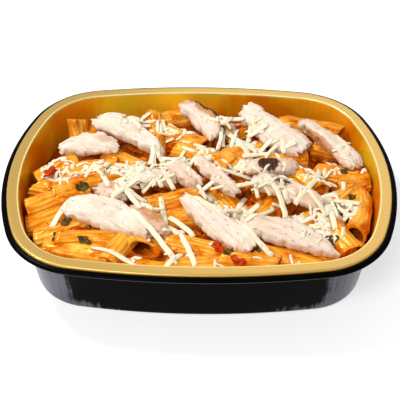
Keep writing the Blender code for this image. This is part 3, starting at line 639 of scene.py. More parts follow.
def sauceHeights(tree):
    # blurred heights of core and tubes: sauce fills the clefts and sinks below the crowns
    cell, blur = sauceForm["cell"], sauceForm["blur"]
    nx = int(2 * tray["halfLength"] / cell) + 1
    ny = int(2 * tray["halfWidth"] / cell) + 1
    field = np.zeros((nx, ny))
    for i in range(nx):
        for j in range(ny):
            x = -tray["halfLength"] + i * cell
            y = -tray["halfWidth"] + j * cell
            field[i, j] = max(coreHeight(x, y), heightAt(tree, x, y))
    size = int(3 * blur / cell)
    kernel = np.exp(-0.5 * (np.arange(-size, size + 1) * cell / blur) ** 2)
    kernel /= kernel.sum()
    return blurred(blurred(field, kernel, 0), kernel, 1)


def sample(field, x, y):
    u = clamp((x + tray["halfLength"]) / sauceForm["cell"], 0.0, field.shape[0] - 1.001)
    v = clamp((y + tray["halfWidth"]) / sauceForm["cell"], 0.0, field.shape[1] - 1.001)
    i, j = int(u), int(v)
    s, t = u - i, v - j
    low = field[i, j] * (1 - s) + field[i + 1, j] * s
    high = field[i, j + 1] * (1 - s) + field[i + 1, j + 1] * s
    return float(low * (1 - t) + high * t)


def openMouths(soft, mouths):
    # near an open mouth, and some way into the tube, the sauce is no higher than the floor of the bore
    nx, ny = soft.shape
    for i in range(nx):
        for j in range(ny):
            x = -tray["halfLength"] + i * sauceForm["cell"]
            y = -tray["halfWidth"] + j * sauceForm["cell"]
            for lip, out, bore in mouths:
                flat = Vector((out.x, out.y)).normalized()
                ahead = (x - lip.x) * flat.x + (y - lip.y) * flat.y
                aside = (x - lip.x) * flat.y - (y - lip.y) * flat.x
                if -sauceForm["mouthDepth"] < ahead < sauceForm["mouthReach"] and abs(aside) < bore + 3.0:
                    low = lip.z + out.z * min(ahead, 0.0) - bore + sauceForm["sink"]
                    soft[i, j] = min(soft[i, j], low + sauceForm["mouthSlope"] * aside * aside)


def makeSauce(tree, mouths):
    form = sauceForm
    soft = sauceHeights(tree)
    openMouths(soft, mouths)
    shape = newShape()
    fillet = tray["fillet"]
    foot = wallOffset(tray["wall"] + fillet) - form["gap"]
    levels = arcPoints((foot - fillet, tray["wall"] + form["gap"] + fillet), fillet, 270.0, 360.0, 3)
    rings = [[Vector((x, y, level)) for x, y in outline(offset)] for offset, level in levels]
    tints = [[(0.0, 0.5, 0.5, 1.0)] * len(rings[0]) for ring in rings]
    edge = []
    for index, (x, y) in enumerate(outline(foot)):
        z = min(coreHeight(x, y), sample(soft, x * 0.97, y * 0.97) - form["sink"])
        px, py = outline(wallOffset(z) - form["gap"])[index]
        edge.append(Vector((px, py, z)))
    for step in range(form["rings"]):
        share = 1.0 - step / form["rings"]
        ring = []
        tint = []
        for point in edge:
            x, y = point.x * share, point.y * share
            z = sample(soft, x, y) - form["sink"]
            for size, depth in form["waves"]:
                z += depth * ripple((x, y, 0.0), size, 5.0)
            if share > 0.97:
                z = point.z
            ring.append(Vector((x, y, z)))
            patch = clamp(0.5 + 0.8 * ripple((x, y, 0.0), 9.0, 8.0))
            # lower sauce gets more red, which the material paints darker: painted shade in the gaps
            tint.append((clamp((34.5 - z) / 9.0), patch, 0.5, 1.0))
        rings.append(ring)
        tints.append(tint)
    addRings(shape, rings, tints)
    draw = random.Random(form["seed"])
    for number in range(form["lumps"]):
        x = draw.uniform(-tray["halfLength"], tray["halfLength"])
        y = draw.uniform(-tray["halfWidth"], tray["halfWidth"])
        size = draw.uniform(*form["lumpSize"])
        z = sample(soft, x, y) - form["sink"]
        sizes = (size * draw.uniform(1.0, 1.7), size, size * 0.75)
        clear = planOffset(x, y) < wallOffset(z - size) - 1.3 * sizes[0] - 0.5
        if clear and heightAt(tree, x, y) < z:
            # lower lumps are painted darker too: painted shade
            tint = (clamp((32.0 - z) / 10.0), draw.random(), 0.5, 1.0)
            middle = Vector((x, y, z - 0.1 * size))
            addLump(shape, middle, sizes, draw.uniform(0.0, 180.0), 1.7 * number, 0.6, 12, 7, tint)
    return shape


# Chicken strips.

stripForm = {
    "sides": 8, "stations": 8, "blunt": 0.78, "flank": 0.6, "crown": 0.85, "endDepth": 0.62, "widens": 1.6,
    "deepens": 2.6, "unevenWidth": (0.92, 1.1), "unevenDepth": (0.9, 1.06), "rings": 64, "cells": 72,
    "roundReach": 1.8, "tornReach": 7.0, "teeth": 3.0, "teethBack": 0.6, "fray": 1.5, "rim": 0.22,
    "bundle": 0.35, "fine": 0.2, "lump": 0.5, "ledge": 1.0, "lowestMark": -0.35,
}

# tone (brown, pink), then marks: kind, share along, place across, half length and half width in mm, strength
stripLooks = {
    "back_left": ((0.05, 0.25), (("pink", 0.25, 0.75, 16, 3, 0.8), ("brown", 0.55, 0.1, 5, 3, 0.3))),
    "back": ((0.1, 0.2), (("brown", 0.5, 0.62, 20, 3.4, 1.0), ("char", 0.52, 1.0, 19, 3.0, 1.0),
                          ("brown", 0.05, 0.3, 5, 5, 0.6))),
    "back_right": ((0.05, 0.2), (("pink", 0.5, 0.8, 22, 3, 0.8), ("brown", 0.75, -0.4, 5, 3, 0.2))),
    "rim_right": ((0.1, 0.35), (("brown", 0.45, -0.95, 16, 2.4, 0.9), ("pink", 0.8, 0.2, 9, 4, 0.5))),
    "front_left": ((0.03, 0.15), (("brown", 0.52, -0.15, 4, 3, 0.3), ("pink", 0.9, 0.1, 6, 6, 0.4))),
    "long_middle": ((0.05, 0.25), (("pink", 0.3, -0.6, 14, 3, 0.6),)),
    "front_right": ((0.08, 0.4), (("brown", 0.15, 0.4, 6, 3, 0.35), ("pink", 0.45, -0.5, 16, 4, 0.5))),
    "middle": ((0.15, 0.75), (("brown", 0.35, 0.85, 12, 1.8, 0.8),)),
    "peppered": ((0.25, 0.35), (("char", 0.36, 0.35, 5, 1.6, 0.85), ("grey", 0.34, 0.2, 8, 4.5, 0.7),
                                ("brown", 0.7, -0.2, 9, 4, 0.5))),
    "grilled": ((0.2, 0.3), (("char", 0.46, 0.1, 6.5, 6.0, 1.0), ("brown", 0.5, 0.2, 9, 7, 0.5),
                             ("brown", 0.8, 0.0, 6, 5, 0.5))),
    "left": ((0.05, 0.2), (("brown", 0.78, 0.3, 6, 3.5, 0.55), ("pink", 0.3, 0.6, 8, 3, 0.4))),
    "browned": ((0.6, 0.5), (("brown", 0.45, 0.2, 10, 4, 1.0), ("brown", 0.5, -0.9, 12, 2, 0.9))),
    "shaded": ((0.2, 0.5), (("brown", 0.7, -0.3, 6, 3, 0.4),)),
    "under_cheese": ((0.25, 0.55), (("brown", 0.45, 0.4, 6, 4, 0.7),)),
    "centre_left": ((0.15, 0.6), (("brown", 0.5, -0.5, 8, 2.5, 0.5),)),
}


def stripSizes(widths, depth, draw):
    # half widths and half heights at even stations along the strip, drawn as for the solids
    form = stripForm
    across = []
    deep = []
    for station in range(form["stations"]):
        share = station / (form["stations"] - 1)
        if share < 0.5:
            width = widths[0] + (widths[1] - widths[0]) * share * 2.0
        else:
            width = widths[1] + (widths[2] - widths[1]) * (share - 0.5) * 2.0
        end = min(share, 1.0 - share)
        narrow = min(1.0, form["blunt"] + end * form["widens"])
        thin = min(1.0, form["endDepth"] + end * form["deepens"])
        across.append(width * 0.5 * narrow * draw.uniform(*form["unevenWidth"]))
        deep.append(depth * 0.5 * thin * draw.uniform(*form["unevenDepth"]))
        # the solids draw a value for each side here, so the next station needs these draws
        for side in range(form["sides"]):
            draw.uniform(-1.0, 1.0)
    return across, deep


def marksAt(tone, marks, along, py, wide, length, seed):
    # how strong each kind of mark is at a place on the strip
    found = {"brown": tone[0], "pink": tone[1], "char": 0.0, "grey": 0.0}
    for kind, at, place, halfLength, halfWidth, strength in marks:
        u = (along - (at - 0.5) * length) / halfLength
        v = (py - place * wide) / halfWidth
        far = math.sqrt(u * u + v * v) + 0.35 * noiseAt(along * 0.4, py * 0.5, seed + 40.0)
        weight = strength * (1.0 - smoothStep(far, 0.65, 1.15))
        if kind == "char":
            weight *= 0.78 + 0.22 * math.sin(along * 2.5)
        found[kind] = max(found[kind], weight)
    return found


def addStrip(shape, row, number):
    name, x, y, top, heading, tilt, roll, length, widths, depth, bend = row
    form = stripForm
    across, deep = stripSizes(widths, depth, random.Random(number))
    placing = turn(x, y, top - depth * 0.5, heading, tilt, roll)
    tone, marks = stripLooks[name]
    seed = 11.0 * (number + 1)
    rings = []
    tints = []
    for station in range(form["rings"]):
        # stations crowd towards both ends, which are rounded and torn
        share = 0.5 - 0.5 * math.cos(math.pi * station / (form["rings"] - 1))
        end = min(share, 1.0 - share) * length
        rounded = math.sqrt(clamp(1.0 - (1.0 - clamp(end / form["roundReach"])) ** 2, 0.02))
        wide = smoothAt(across, share) * (0.62 + 0.38 * rounded)
        high = smoothAt(deep, share) * (0.3 + 0.7 * rounded)
        torn = smoothStep(form["tornReach"] - end, 0.0, form["tornReach"])
        side = bend * (4.0 * share * (1.0 - share) - 0.5)
        along = (share - 0.5) * length
        ring = []
        tint = []
        for cell in range(form["cells"]):
            angle = aroundAt(cell, form["cells"])
            c, s = math.cos(angle), math.sin(angle)
            flat = math.copysign(abs(c) ** form["flank"], c)
            py = flat * wide
            pz = math.copysign(abs(s) ** form["crown"], s) * high
            # bundles of fibres run along the strip, a little slanted; between them the meat steps
            # down in low ledges where it was pulled apart
            lane = py + 0.12 * along
            bundle = noiseAt(along * 0.04, lane * 0.34, seed + pz * 0.25)
            fine = noiseAt(along * 0.1, lane * 1.1, seed + 5.0 + pz * 0.6)
            lump = noiseAt(along * 0.1, py * 0.16, seed + 9.0)
            ledge = smoothStep(noiseAt(along * 0.03, lane * 0.2, seed + 14.0), -0.04, 0.05) - 0.5
            edge = abs(flat) ** 6
            relief = form["bundle"] * bundle + form["fine"] * fine + form["lump"] * lump
            relief += form["ledge"] * ledge * (1.0 - edge)
            normal = Vector((0.0, c / max(wide, 1.0), s / max(high, 1.0))).normalized()
            # torn ends have teeth, and the long edges fray
            teeth = noiseAt(lane * 0.5, pz * 0.25, seed + 20.0)
            teeth += 0.5 * noiseAt(lane * 1.3, pz * 0.5, seed + 23.0)
            slip = math.copysign(1.0, share - 0.5) * torn * (form["teeth"] * teeth - form["teethBack"])
            frayed = noiseAt(along * 0.2, flat * 2.0, seed + 30.0)
            frayed += 0.6 * noiseAt(along * 0.62, flat * 3.0, seed + 33.0)
            frayed -= smoothStep(noiseAt(along * 0.3, flat * 2.0, seed + 36.0), 0.18, 0.45)
            fray = math.copysign(1.0, flat) * edge * frayed * form["fray"]
            point = Vector((along + slip, side + py + fray, pz)) + normal * relief
            ring.append(placing @ point)
            found = marksAt(tone, marks if s > form["lowestMark"] else (), along, py, wide, length, seed)
            # pale lumps, a warmer rim, and clefts painted darker: painted shade
            cleft = clamp(0.55 + 0.6 * bundle + 0.5 * fine + 0.25 * ledge)
            brown = clamp(found["brown"] + form["rim"] * edge * clamp(0.4 + noiseAt(along * 0.12, seed, 3.0)))
            char = max(found["char"], 0.35 * found["grey"])
            tint.append((cleft, brown, clamp(found["pink"] * (0.75 + 0.6 * lump)), char))
        rings.append(ring)
        tints.append(tint)
    addRings(shape, rings, tints)


# Cheese, leaves, tomatoes and flecks.

shredForm = {
    "size": (3.2, 1.3), "cells": 10, "control": 4.5, "station": 1.6, "sink": 0.45, "slope": 0.45,
    "roll": 16.0, "twist": 22.0, "cut": 0.5, "taper": 0.1, "clearance": 0.5,
    "seed": 21, "bow": 0.08, "width": (2.2, 3.1), "depth": (0.9, 1.3), "short": 10, "slim": 0.72,
}
crumbForm = {"seed": 22, "length": (2.6, 6.4), "width": (1.2, 2.1), "depth": (0.6, 0.9)}

# flecks of herb: scattered ones, then clusters as x, y, spread, count
fleckForm = {
    "seed": 23, "count": 420, "reach": (100.0, 74.0), "size": (0.25, 0.7), "clusterSize": (0.25, 0.6),
    "clusters": (
        (49, -11, 4, 26), (-44, -32, 7, 8), (-40, 36, 9, 12), (40, 45, 9, 14), (75, 36, 10, 10),
        (12, -36, 10, 14), (50, -50, 12, 12),
    ),
}


def drape(tree, points, sink, slope):
    # heights of a stiff strip laid on the ground: it bridges the hollows that it crosses
    heights = [heightAt(tree, x, y) for x, y in points]
    lifted = []
    for index in range(len(heights)):
        best = heights[index]
        for left in range(index + 1):
            for right in range(index, len(heights)):
                if right > left:
                    share = (index - left) / (right - left)
                    best = max(best, heights[left] * (1.0 - share) + heights[right] * share)
        lifted.append(best - sink)
    step = (Vector(points[1]) - Vector(points[0])).length * slope
    for index in range(1, len(lifted)):
        lifted[index] = max(lifted[index], lifted[index - 1] - step)
    for index in range(len(lifted) - 2, -1, -1):
        lifted[index] = max(lifted[index], lifted[index + 1] - step)
    return lifted


def bowedLine(x, y, heading, length, bow, stations):
    angle = math.radians(heading)
    points = []
    for station in range(stations):
        share = station / (stations - 1)
        along = (share - 0.5) * length
        side = bow * (4.0 * share * (1.0 - share) - 0.5)
        points.append((x + along * math.cos(angle) - side * math.sin(angle),
                       y + along * math.sin(angle) + side * math.cos(angle)))
    return points


def addShred(shape, tree, row, number, width, depth):
    x, y, heading, length, bow = row
    form = shredForm
    draw = random.Random(900 + number)
    controls = max(3, min(7, int(length / form["control"]) + 1))
    line = bowedLine(x, y, heading, length, bow, controls)
    heights = drape(tree, line, form["sink"], form["slope"])
    stations = max(6, int(length / form["station"]))
    roll = math.radians(draw.uniform(-form["roll"], form["roll"]))
    twist = math.radians(draw.uniform(-form["twist"], form["twist"]))
    cut = draw.uniform(-form["cut"], form["cut"])
    tone = draw.uniform(0.0, 1.0)
    fine = bowedLine(x, y, heading, length, bow, stations)
    angle = math.radians(heading)
    along = Vector((math.cos(angle), math.sin(angle), 0.0))
    aside = Vector((-math.sin(angle), math.cos(angle), 0.0))
    wobble = draw.uniform(0.0, 50.0)
    rings = []
    tints = []
    for station in range(stations):
        share = station / (stations - 1)
        px, py = fine[station]
        taper = 1.0 - form["taper"] * smoothStep(abs(share - 0.5), 0.42, 0.5)
        wide = width * 0.5 * taper * (1.0 + 0.14 * noiseAt(share * length * 0.2, wobble, 0.0))
        thick = depth * 0.5 * taper
        z = smoothAt(heights, share) + thick
        drift = 0.5 * noiseAt(share * length * 0.16, wobble, 9.0)
        turned = roll + twist * (share - 0.5)
        ring = []
        tint = []
        for cell in range(form["cells"]):
            a = aroundAt(cell, form["cells"])
            c, s = math.cos(a), math.sin(a)
            u = math.copysign(abs(c) ** 0.4, c) * wide
            v = math.copysign(abs(s) ** 0.55, s) * thick
            point = Vector((px, py, z)) + aside * (drift + u * math.cos(turned) - v * math.sin(turned))
            point.z += u * math.sin(turned) + v * math.cos(turned)
            point += along * (cut * u if station in (0, stations - 1) else 0.0)
            ring.append(point)
            tint.append((tone, clamp(0.5 + ripple(point, 3.0, 4.0)), 0.5, 1.0))
        rings.append(ring)
        tints.append(tint)
    move = clearOfWall([point for ring in rings for point in ring[::2]], form["clearance"])
    rings = [[point + move for point in ring] for ring in rings]
    addRings(shape, rings, tints)


def insideTray(x, y, clearance):
    return planOffset(x, y) < wallOffset(40.0) - clearance


def scatter(clusters, seed):
    # places round the middles of the clusters, with the rest of the cluster's row
    draw = random.Random(seed)
    for middleX, middleY, spread, count, *lengths in clusters:
        for index in range(count):
            far = spread * math.sqrt(draw.random())
            angle = draw.uniform(0.0, 2.0 * math.pi)
            x = middleX + 1.15 * far * math.cos(angle)
            y = middleY + 0.95 * far * math.sin(angle)
            if insideTray(x, y, 3.0):
                yield draw, lengths, x, y


def addLump(shape, middle, sizes, heading, seed, uneven, cells=8, rows=5, tint=(0.5, 0.5, 0.5, 1.0)):
    # a small rounded, uneven lump
    placing = turn(*middle, heading, 0.0)
    rings = []
    for row in range(rows):
        level = math.pi * (row + 0.5) / rows
        ring = []
        for cell in range(cells):
            angle = 2.0 * math.pi * cell / cells
            wide = math.sin(level)
            way = Vector((-math.cos(level), wide * math.cos(angle), wide * math.sin(angle)))
            swell = 1.0 + uneven * noise.noise(way * 1.7 + Vector((seed, seed * 0.7, 0.0)))
            ring.append(placing @ Vector([share * size * swell for share, size in zip(way, sizes)]))
        rings.append(ring)
    addRings(shape, rings, [[tint] * cells] * rows)


def addLeaf(shape, tree, row, number):
    # a wilted leaf: a thin wavy closed sheet that follows what it lies on
    x, y, heading, length, width = row
    angle = math.radians(heading)
    stations = 13
    cells = 16
    deepest, highest, thickness = 1.6, 1.2, 0.45
    rings = []
    tints = []
    seed = 3.3 * number
    base = heightAt(tree, x, y)
    for station in range(stations):
        share = station / (stations - 1)
        u = (share - 0.5) * length
        half = width * 0.5 * math.sin(math.pi * clamp(0.05 + 0.9 * share)) ** 0.6
        ring = []
        tint = []
        for cell in range(cells):
            a = aroundAt(cell, cells)
            uneven = 0.75 * noiseAt(share * 4.5, seed, math.copysign(2.0, math.cos(a)))
            v = math.cos(a) * half * (1.0 + uneven)
            px = x + u * math.cos(angle) - v * math.sin(angle)
            py = y + u * math.sin(angle) + v * math.cos(angle)
            ground = clamp(heightAt(tree, px, py), base - deepest, base + highest)
            wave = 0.7 * noiseAt(px * 0.35, py * 0.35, seed)
            vein = 0.12 * abs(math.sin(share * 16.0)) - 0.25 * math.exp(-(v / (0.25 * half + 0.1)) ** 2)
            above = thickness + vein if math.sin(a) > 0.0 else 0.0
            point = Vector((px, py, ground + 0.15 + wave + above))
            ring.append(point)
            tint.append((clamp(0.5 + noise.noise(point * 0.5)), 0.5, 0.5, 1.0))
        rings.append(ring)
        tints.append(tint)
    addRings(shape, rings, tints)


def addFleck(shape, tree, x, y, size, heading, tone):
    # a small flat flake that lies on the surface
    hit, normal = tree.ray_cast(Vector((x, y, wellAbove)), down)[:2]
    if hit is None or normal.z < 0.25:
        return
    side = normal.cross(Vector((math.cos(heading), math.sin(heading), 0.0))).normalized()
    along = side.cross(normal).normalized()
    cells = 6
    rings = []
    for lift, share in ((-0.12, 0.8), (0.1, 1.0), (0.2, 0.7)):
        ring = []
        for cell in range(cells):
            angle = 2.0 * math.pi * cell / cells
            spread = share * size * (0.8 + 0.35 * math.sin(heading * 7.0 + cell * 2.4))
            reach = along * (math.cos(angle) * spread) + side * (math.sin(angle) * spread * 0.55)
            ring.append(hit + normal * lift + reach)
        rings.append(ring)
    addRings(shape, rings, [[(tone, 0.5, 0.5, 1.0)] * cells] * len(rings))


# Materials.

def goldLacquer():
    # clear gold lacquer over foil: satin flange, deeper gold down the wall with soft upright streaks;
    # on top, painted light and shade: the wall darker lower down and to the right and paler left of the
    # middle, a painted highlight along the inner lip and painted shade where the flange turns down
    material, tree, shader = newMaterial("gold_lacquered_foil")
    place = placeInMm(tree)
    flow = flowInMm(tree)
    parts = addNode(tree, "ShaderNodeSeparateXYZ", None, {0: place}).outputs
    across, height = parts[0], parts[2]
    upper = shareOf(tree, height, 42.6, 43.9)
    corner, lip, clear = readTint(tree, 0, 1, 3)
    streak = grain(tree, flow, 1.0, 2.0, 0.5, stretch=(70.0, 6.0))
    patch = grain(tree, place, 30.0, 1.0)
    tone = calculate(tree, "MULTIPLY_ADD", patch, 0.8, calculate(tree, "MULTIPLY", streak, 0.2))
    # darker, deeper gold lower down the wall: painted shade
    tone = calculate(tree, "ADD", tone, rangeOf(tree, height, -0.06, 0.08, 26.0, 42.0))
    # paler left of the middle and deeper gold to the right: painted light and shade
    fromLeft = rangeOf(tree, across, -0.08, 0.1, -80.0, -40.0)
    fromRight = rangeOf(tree, across, 0.1, -0.14, -20.0, 50.0)
    tone = calculate(tree, "ADD", tone, calculate(tree, "MINIMUM", fromLeft, fromRight))
    wall = mixColours(tree, shareOf(tree, tone, 0.38, 0.62), linear("#f08e00"), linear("#ffd628"))
    wall = mixColours(tree, calculate(tree, "MULTIPLY", corner, 0.35), wall, linear("#ffb828"))
    flange = mixColours(tree, grain(tree, place, 0.5, 2.0), linear("#d8ac56"), linear("#e4bc6c"))
    gold = mixColours(tree, upper, wall, flange)
    # green paints the pale yellow highlight along the inner lip: a painted highlight
    gold = mixColours(tree, lip, gold, linear("#fff0a0"))
    # alpha 0 paints the gold dark olive where the flange turns down: painted shade
    feed(tree, shader, "Base Color", mixColours(tree, clear, linear("#5a4410"), gold))
    feed(tree, shader, "Metallic", rangeOf(tree, upper, 0.2, 0.6))
    shine = mixColours(tree, upper, linear("#ffb01c"), linear("#ffffff"))
    feed(tree, shader, "Specular Tint", shine)
    dent = calculate(tree, "MULTIPLY", streak, rangeOf(tree, upper, 1.0, 0.0))
    feed(tree, shader, "Roughness", rangeOf(tree, dent, 0.27, 0.32))
    bump = addBump(tree, shader, dent, 0.07, 0.6)
    addBump(tree, shader, grain(tree, place, 0.35, 2.0), 0.015, 0.5, bump)
    return material


def blackLacquer():
    # black lacquer over foil; where the corners are drawn the lacquer is thin and foil streaks shine through,
    # partly as painted reflection; a painted reflection of the floor runs along the foot near the corners,
    # and a painted highlight runs along the hem's lower edge
    material, tree, shader = newMaterial("black_lacquered_foil", IOR=1.09)
    corner, footReflectionReach, shine = readTint(tree, 0, 1, 2)
    place = placeInMm(tree)
    flow = flowInMm(tree)
    streak = grain(tree, flow, 1.0, 4.0, 0.6, stretch=(60.0, 2.2))
    height = addNode(tree, "ShaderNodeSeparateXYZ", None, {0: place}).outputs[2]
    # a grey band along the foot near the corners: painted reflection of the floor
    foot = calculate(tree, "MULTIPLY", footReflectionReach, rangeOf(tree, height, 1.0, 0.0, 1.0, 14.0))
    reach = calculate(tree, "MAXIMUM", corner, foot)
    ragged = calculate(tree, "MULTIPLY_ADD", grain(tree, place, 9.0, 2.0), 0.7, -1.4)
    thin = calculate(tree, "ADD", calculate(tree, "MULTIPLY_ADD", streak, 1.1, ragged), reach)
    thin = shareOf(tree, thin, -0.06, 0.3)
    # the grey streaks are partly foil under thin lacquer and partly painted reflection
    foilAndReflection = mixColours(tree, streak, linear("#2c2a32"), linear("#787480"))
    base = mixColours(tree, thin, linear("#060404"), foilAndReflection)
    # blue paints a grey highlight along the hem's lower edge: a painted highlight
    base = mixColours(tree, shine, base, linear("#77757a"))
    feed(tree, shader, "Base Color", base)
    feed(tree, shader, "Metallic", calculate(tree, "MULTIPLY", thin, 0.75))
    feed(tree, shader, "Roughness", rangeOf(tree, streak, 0.18, 0.34))
    addBump(tree, shader, streak, 0.1, 0.6)
    return material


def cookedPasta():
    # pale ridges, orange sauce in the grooves and in patches over them
    material, tree, shader = newMaterial(
        "cooked_pasta_with_sauce", Subsurface_Weight=0.1, Subsurface_Scale=0.0015,
        Subsurface_Radius=(1.0, 0.45, 0.12), Specular_IOR_Level=0.7, Specular_Tint=linear("#ffcf70"))
    ridge, tone, cover, outer = readTint(tree, 0, 1, 2, 3)
    place = placeInMm(tree)
    flow = flowInMm(tree)
    smear = grain(tree, flow, 1.0, 3.0, 0.55, stretch=(9.0, 1.8))
    bits = grain(tree, place, 1.3, 3.0)
    thin = mixColours(tree, tone, linear("#ffc850"), linear("#fbb02e"))
    sauce = mixColours(tree, shareOf(tree, bits, 0.35, 0.65), linear("#f08c04"), linear("#cf6002"))
    smeared = rangeOf(tree, smear, -0.4, 0.4, 0.3, 0.7)
    # channel 2 carries the sauce cover plus painted shade on the undersides, so the darkest colour is partly
    # painted shade
    sauceAndShade = calculate(tree, "ADD", calculate(tree, "MULTIPLY", cover, 0.9), smeared)
    wet = mixColours(tree, shareOf(tree, sauceAndShade, 0.12, 0.78), thin, sauce)
    wet = mixColours(tree, shareOf(tree, sauceAndShade, 0.8, 1.35), wet, linear("#a64402"))
    groove = rangeOf(tree, ridge, 0.7, 0.0, 0.0, 0.85)
    wet = mixColours(tree, groove, wet, linear("#d87008"))
    # the bores are painted dark brown towards their depth: painted shade
    wet = mixColours(tree, outer, linear("#541f03"), wet)
    feed(tree, shader, "Base Color", wet)
    feed(tree, shader, "Roughness", rangeOf(tree, bits, 0.08, 0.32))
    bump = addBump(tree, shader, smear, 0.3, 0.5)
    addBump(tree, shader, bits, 0.22, 0.5, bump)
    return material


def tomatoSauce():
    material, tree, shader = newMaterial(
        "tomato_sauce", Subsurface_Weight=0.1, Subsurface_Scale=0.0015,
        Subsurface_Radius=(1.0, 0.35, 0.08), Specular_IOR_Level=0.35, Specular_Tint=linear("#ffbe5a"))
    deep, patch = readTint(tree, 0, 1)
    place = placeInMm(tree)
    pulp = grain(tree, place, 1.9, 4.0, 0.6)
    oily = mixColours(tree, shareOf(tree, pulp, 0.35, 0.65), linear("#f2870e"), linear("#d25c04"))
    dark = mixColours(tree, patch, linear("#9a3604"), linear("#5e2003"))
    # lower sauce is painted darker brown: painted shade in the gaps between the tubes
    colour = mixColours(tree, shareOf(tree, deep, 0.15, 0.75), oily, dark)
    feed(tree, shader, "Base Color", colour)
    feed(tree, shader, "Roughness", rangeOf(tree, pulp, 0.16, 0.4))
    addBump(tree, shader, pulp, 0.6, 0.7)
    return material


def cookedChicken():
    material, tree, shader = newMaterial(
        "cooked_chicken_breast", Roughness=0.5, Subsurface_Weight=0.12, Subsurface_Scale=0.002,
        Subsurface_Radius=(1.0, 0.8, 0.6), Specular_IOR_Level=0.3)
    cleft, brown, pink, char = readTint(tree, 0, 1, 2, 3)
    place = placeInMm(tree)
    flow = flowInMm(tree)
    fibre = grain(tree, flow, 1.0, 4.0, 0.6, stretch=(12.0, 0.7))
    mottle = grain(tree, place, 4.0, 3.0)
    mottle = shareOf(tree, mottle, 0.35, 0.65)
    flesh = mixColours(tree, mottle, linear("#f5eadb"), linear("#f0e1cd"))
    stain = grain(tree, place, 2.6, 4.0, 0.65)
    flesh = mixColours(tree, rangeOf(tree, stain, 0.0, 0.5, 0.56, 0.7), flesh, linear("#dcae80"))
    # fibre grooves and clefts are painted tan: painted shade
    flesh = mixColours(tree, rangeOf(tree, fibre, 0.6, 0.0, 0.3, 0.48), flesh, linear("#d9b48e"))
    flesh = mixColours(tree, rangeOf(tree, cleft, 0.5, 0.0, 0.0, 0.45), flesh, linear("#d9b592"))
    flesh = mixColours(tree, calculate(tree, "MULTIPLY", pink, 0.55), flesh, linear("#ecc0a0"))
    flesh = mixColours(tree, calculate(tree, "MULTIPLY", brown, 0.9), flesh, linear("#c47a38"))
    flesh = mixColours(tree, shareOf(tree, char, 0.1, 0.45), flesh, linear("#5c2e0e"))
    flesh = mixColours(tree, rangeOf(tree, char, 0.0, 0.95, 0.5, 0.9), flesh, linear("#240e04"))
    feed(tree, shader, "Base Color", flesh)
    feed(tree, shader, "Roughness", rangeOf(tree, brown, 0.55, 0.35))
    bump = addBump(tree, shader, fibre, 0.4, 0.7)
    addBump(tree, shader, grain(tree, place, 0.8, 3.0), 0.15, 0.5, bump)
    return material


def softCheese():
    material, tree, shader = newMaterial(
        "mozzarella_shreds", Roughness=0.45, Subsurface_Weight=0.3, Subsurface_Scale=0.0015,
        Subsurface_Radius=(1.0, 0.8, 0.5), Specular_IOR_Level=0.3)
    tone, mottle = readTint(tree, 0, 1)
    place = placeInMm(tree)
    colour = mixColours(tree, tone, linear("#faf0d8"), linear("#f6e7c6"))
    colour = mixColours(tree, calculate(tree, "MULTIPLY", mottle, 0.25), colour, linear("#ead4a2"))
    feed(tree, shader, "Base Color", colour)
    addBump(tree, shader, grain(tree, place, 0.9, 3.0), 0.12, 0.5)
    return material


def wiltedHerb():
    material, tree, shader = newMaterial("wilted_herb_leaf", Roughness=0.4, Specular_IOR_Level=0.12)
    tone = readTint(tree, 0)[0]
    place = placeInMm(tree)
    colour = mixColours(tree, tone, linear("#453610"), linear("#66501a"))
    dark = rangeOf(tree, grain(tree, place, 1.2), 0.0, 0.8, 0.48, 0.62)
    sauced = rangeOf(tree, grain(tree, place, 2.4), 0.0, 0.8, 0.54, 0.66)
    colour = mixColours(tree, dark, colour, linear("#2c1806"))
    colour = mixColours(tree, sauced, colour, linear("#b46c14"))
    feed(tree, shader, "Base Color", colour)
    addBump(tree, shader, grain(tree, place, 0.7, 3.0), 0.2, 0.6)
    return material


def stewedTomato():
    material, tree, shader = newMaterial(
        "stewed_tomato", Roughness=0.25, Subsurface_Weight=0.1, Subsurface_Scale=0.0015,
        Subsurface_Radius=(1.0, 0.2, 0.08), Specular_IOR_Level=0.3, Specular_Tint=linear("#ffb060"))
    place = placeInMm(tree)
    pulp = grain(tree, place, 1.8, 3.0)
    colour = mixColours(tree, shareOf(tree, pulp, 0.35, 0.65), linear("#d23e04"), linear("#962602"))
    feed(tree, shader, "Base Color", colour)
    addBump(tree, shader, pulp, 0.3, 0.6)
    return material


# The pieces, one after another.

pasta = cookedPasta()
chicken = cookedChicken()
cheese = softCheese()
herb = wiltedHerb()
allStrips = ["chicken_" + row[0] for row in strips]

makeTray(goldLacquer(), blackLacquer())

tubeShape = newShape()
mouths = []
for number, row in enumerate(tubes):
    mouths += addTube(tubeShape, row, number)
makePiece("pasta_tubes", tubeShape, [pasta], ["pasta"])

sauceShape = makeSauce(treeOf(tubeShape), mouths)
makePiece("sauce", sauceShape, [tomatoSauce()], ["pasta"])

stripShapes = []
for number, row in enumerate(strips):
    stripShape = newShape()
    addStrip(stripShape, row, number)
    stripShapes.append(stripShape)
    makePiece("meat_" + row[0], stripShape, [chicken], ["chicken_" + row[0]])

ground = treeOf(tubeShape, sauceShape, *stripShapes)

leafShape = newShape()
for number, row in enumerate(leaves):
    addLeaf(leafShape, ground, row, number)
makePiece("herb_leaves", leafShape, [herb], ["pasta"])

tomatoShape = newShape()
for number, (x, y, heading, length, width) in enumerate(tomatoes):
    middle = Vector((x, y, heightAt(ground, x, y) + 0.3))
    addLump(tomatoShape, middle, (length * 0.45, width * 0.45, 1.1), heading, 2.7 * number, 0.75, 20, 11)
makePiece("tomato_pieces", tomatoShape, [stewedTomato()], ["pasta"])

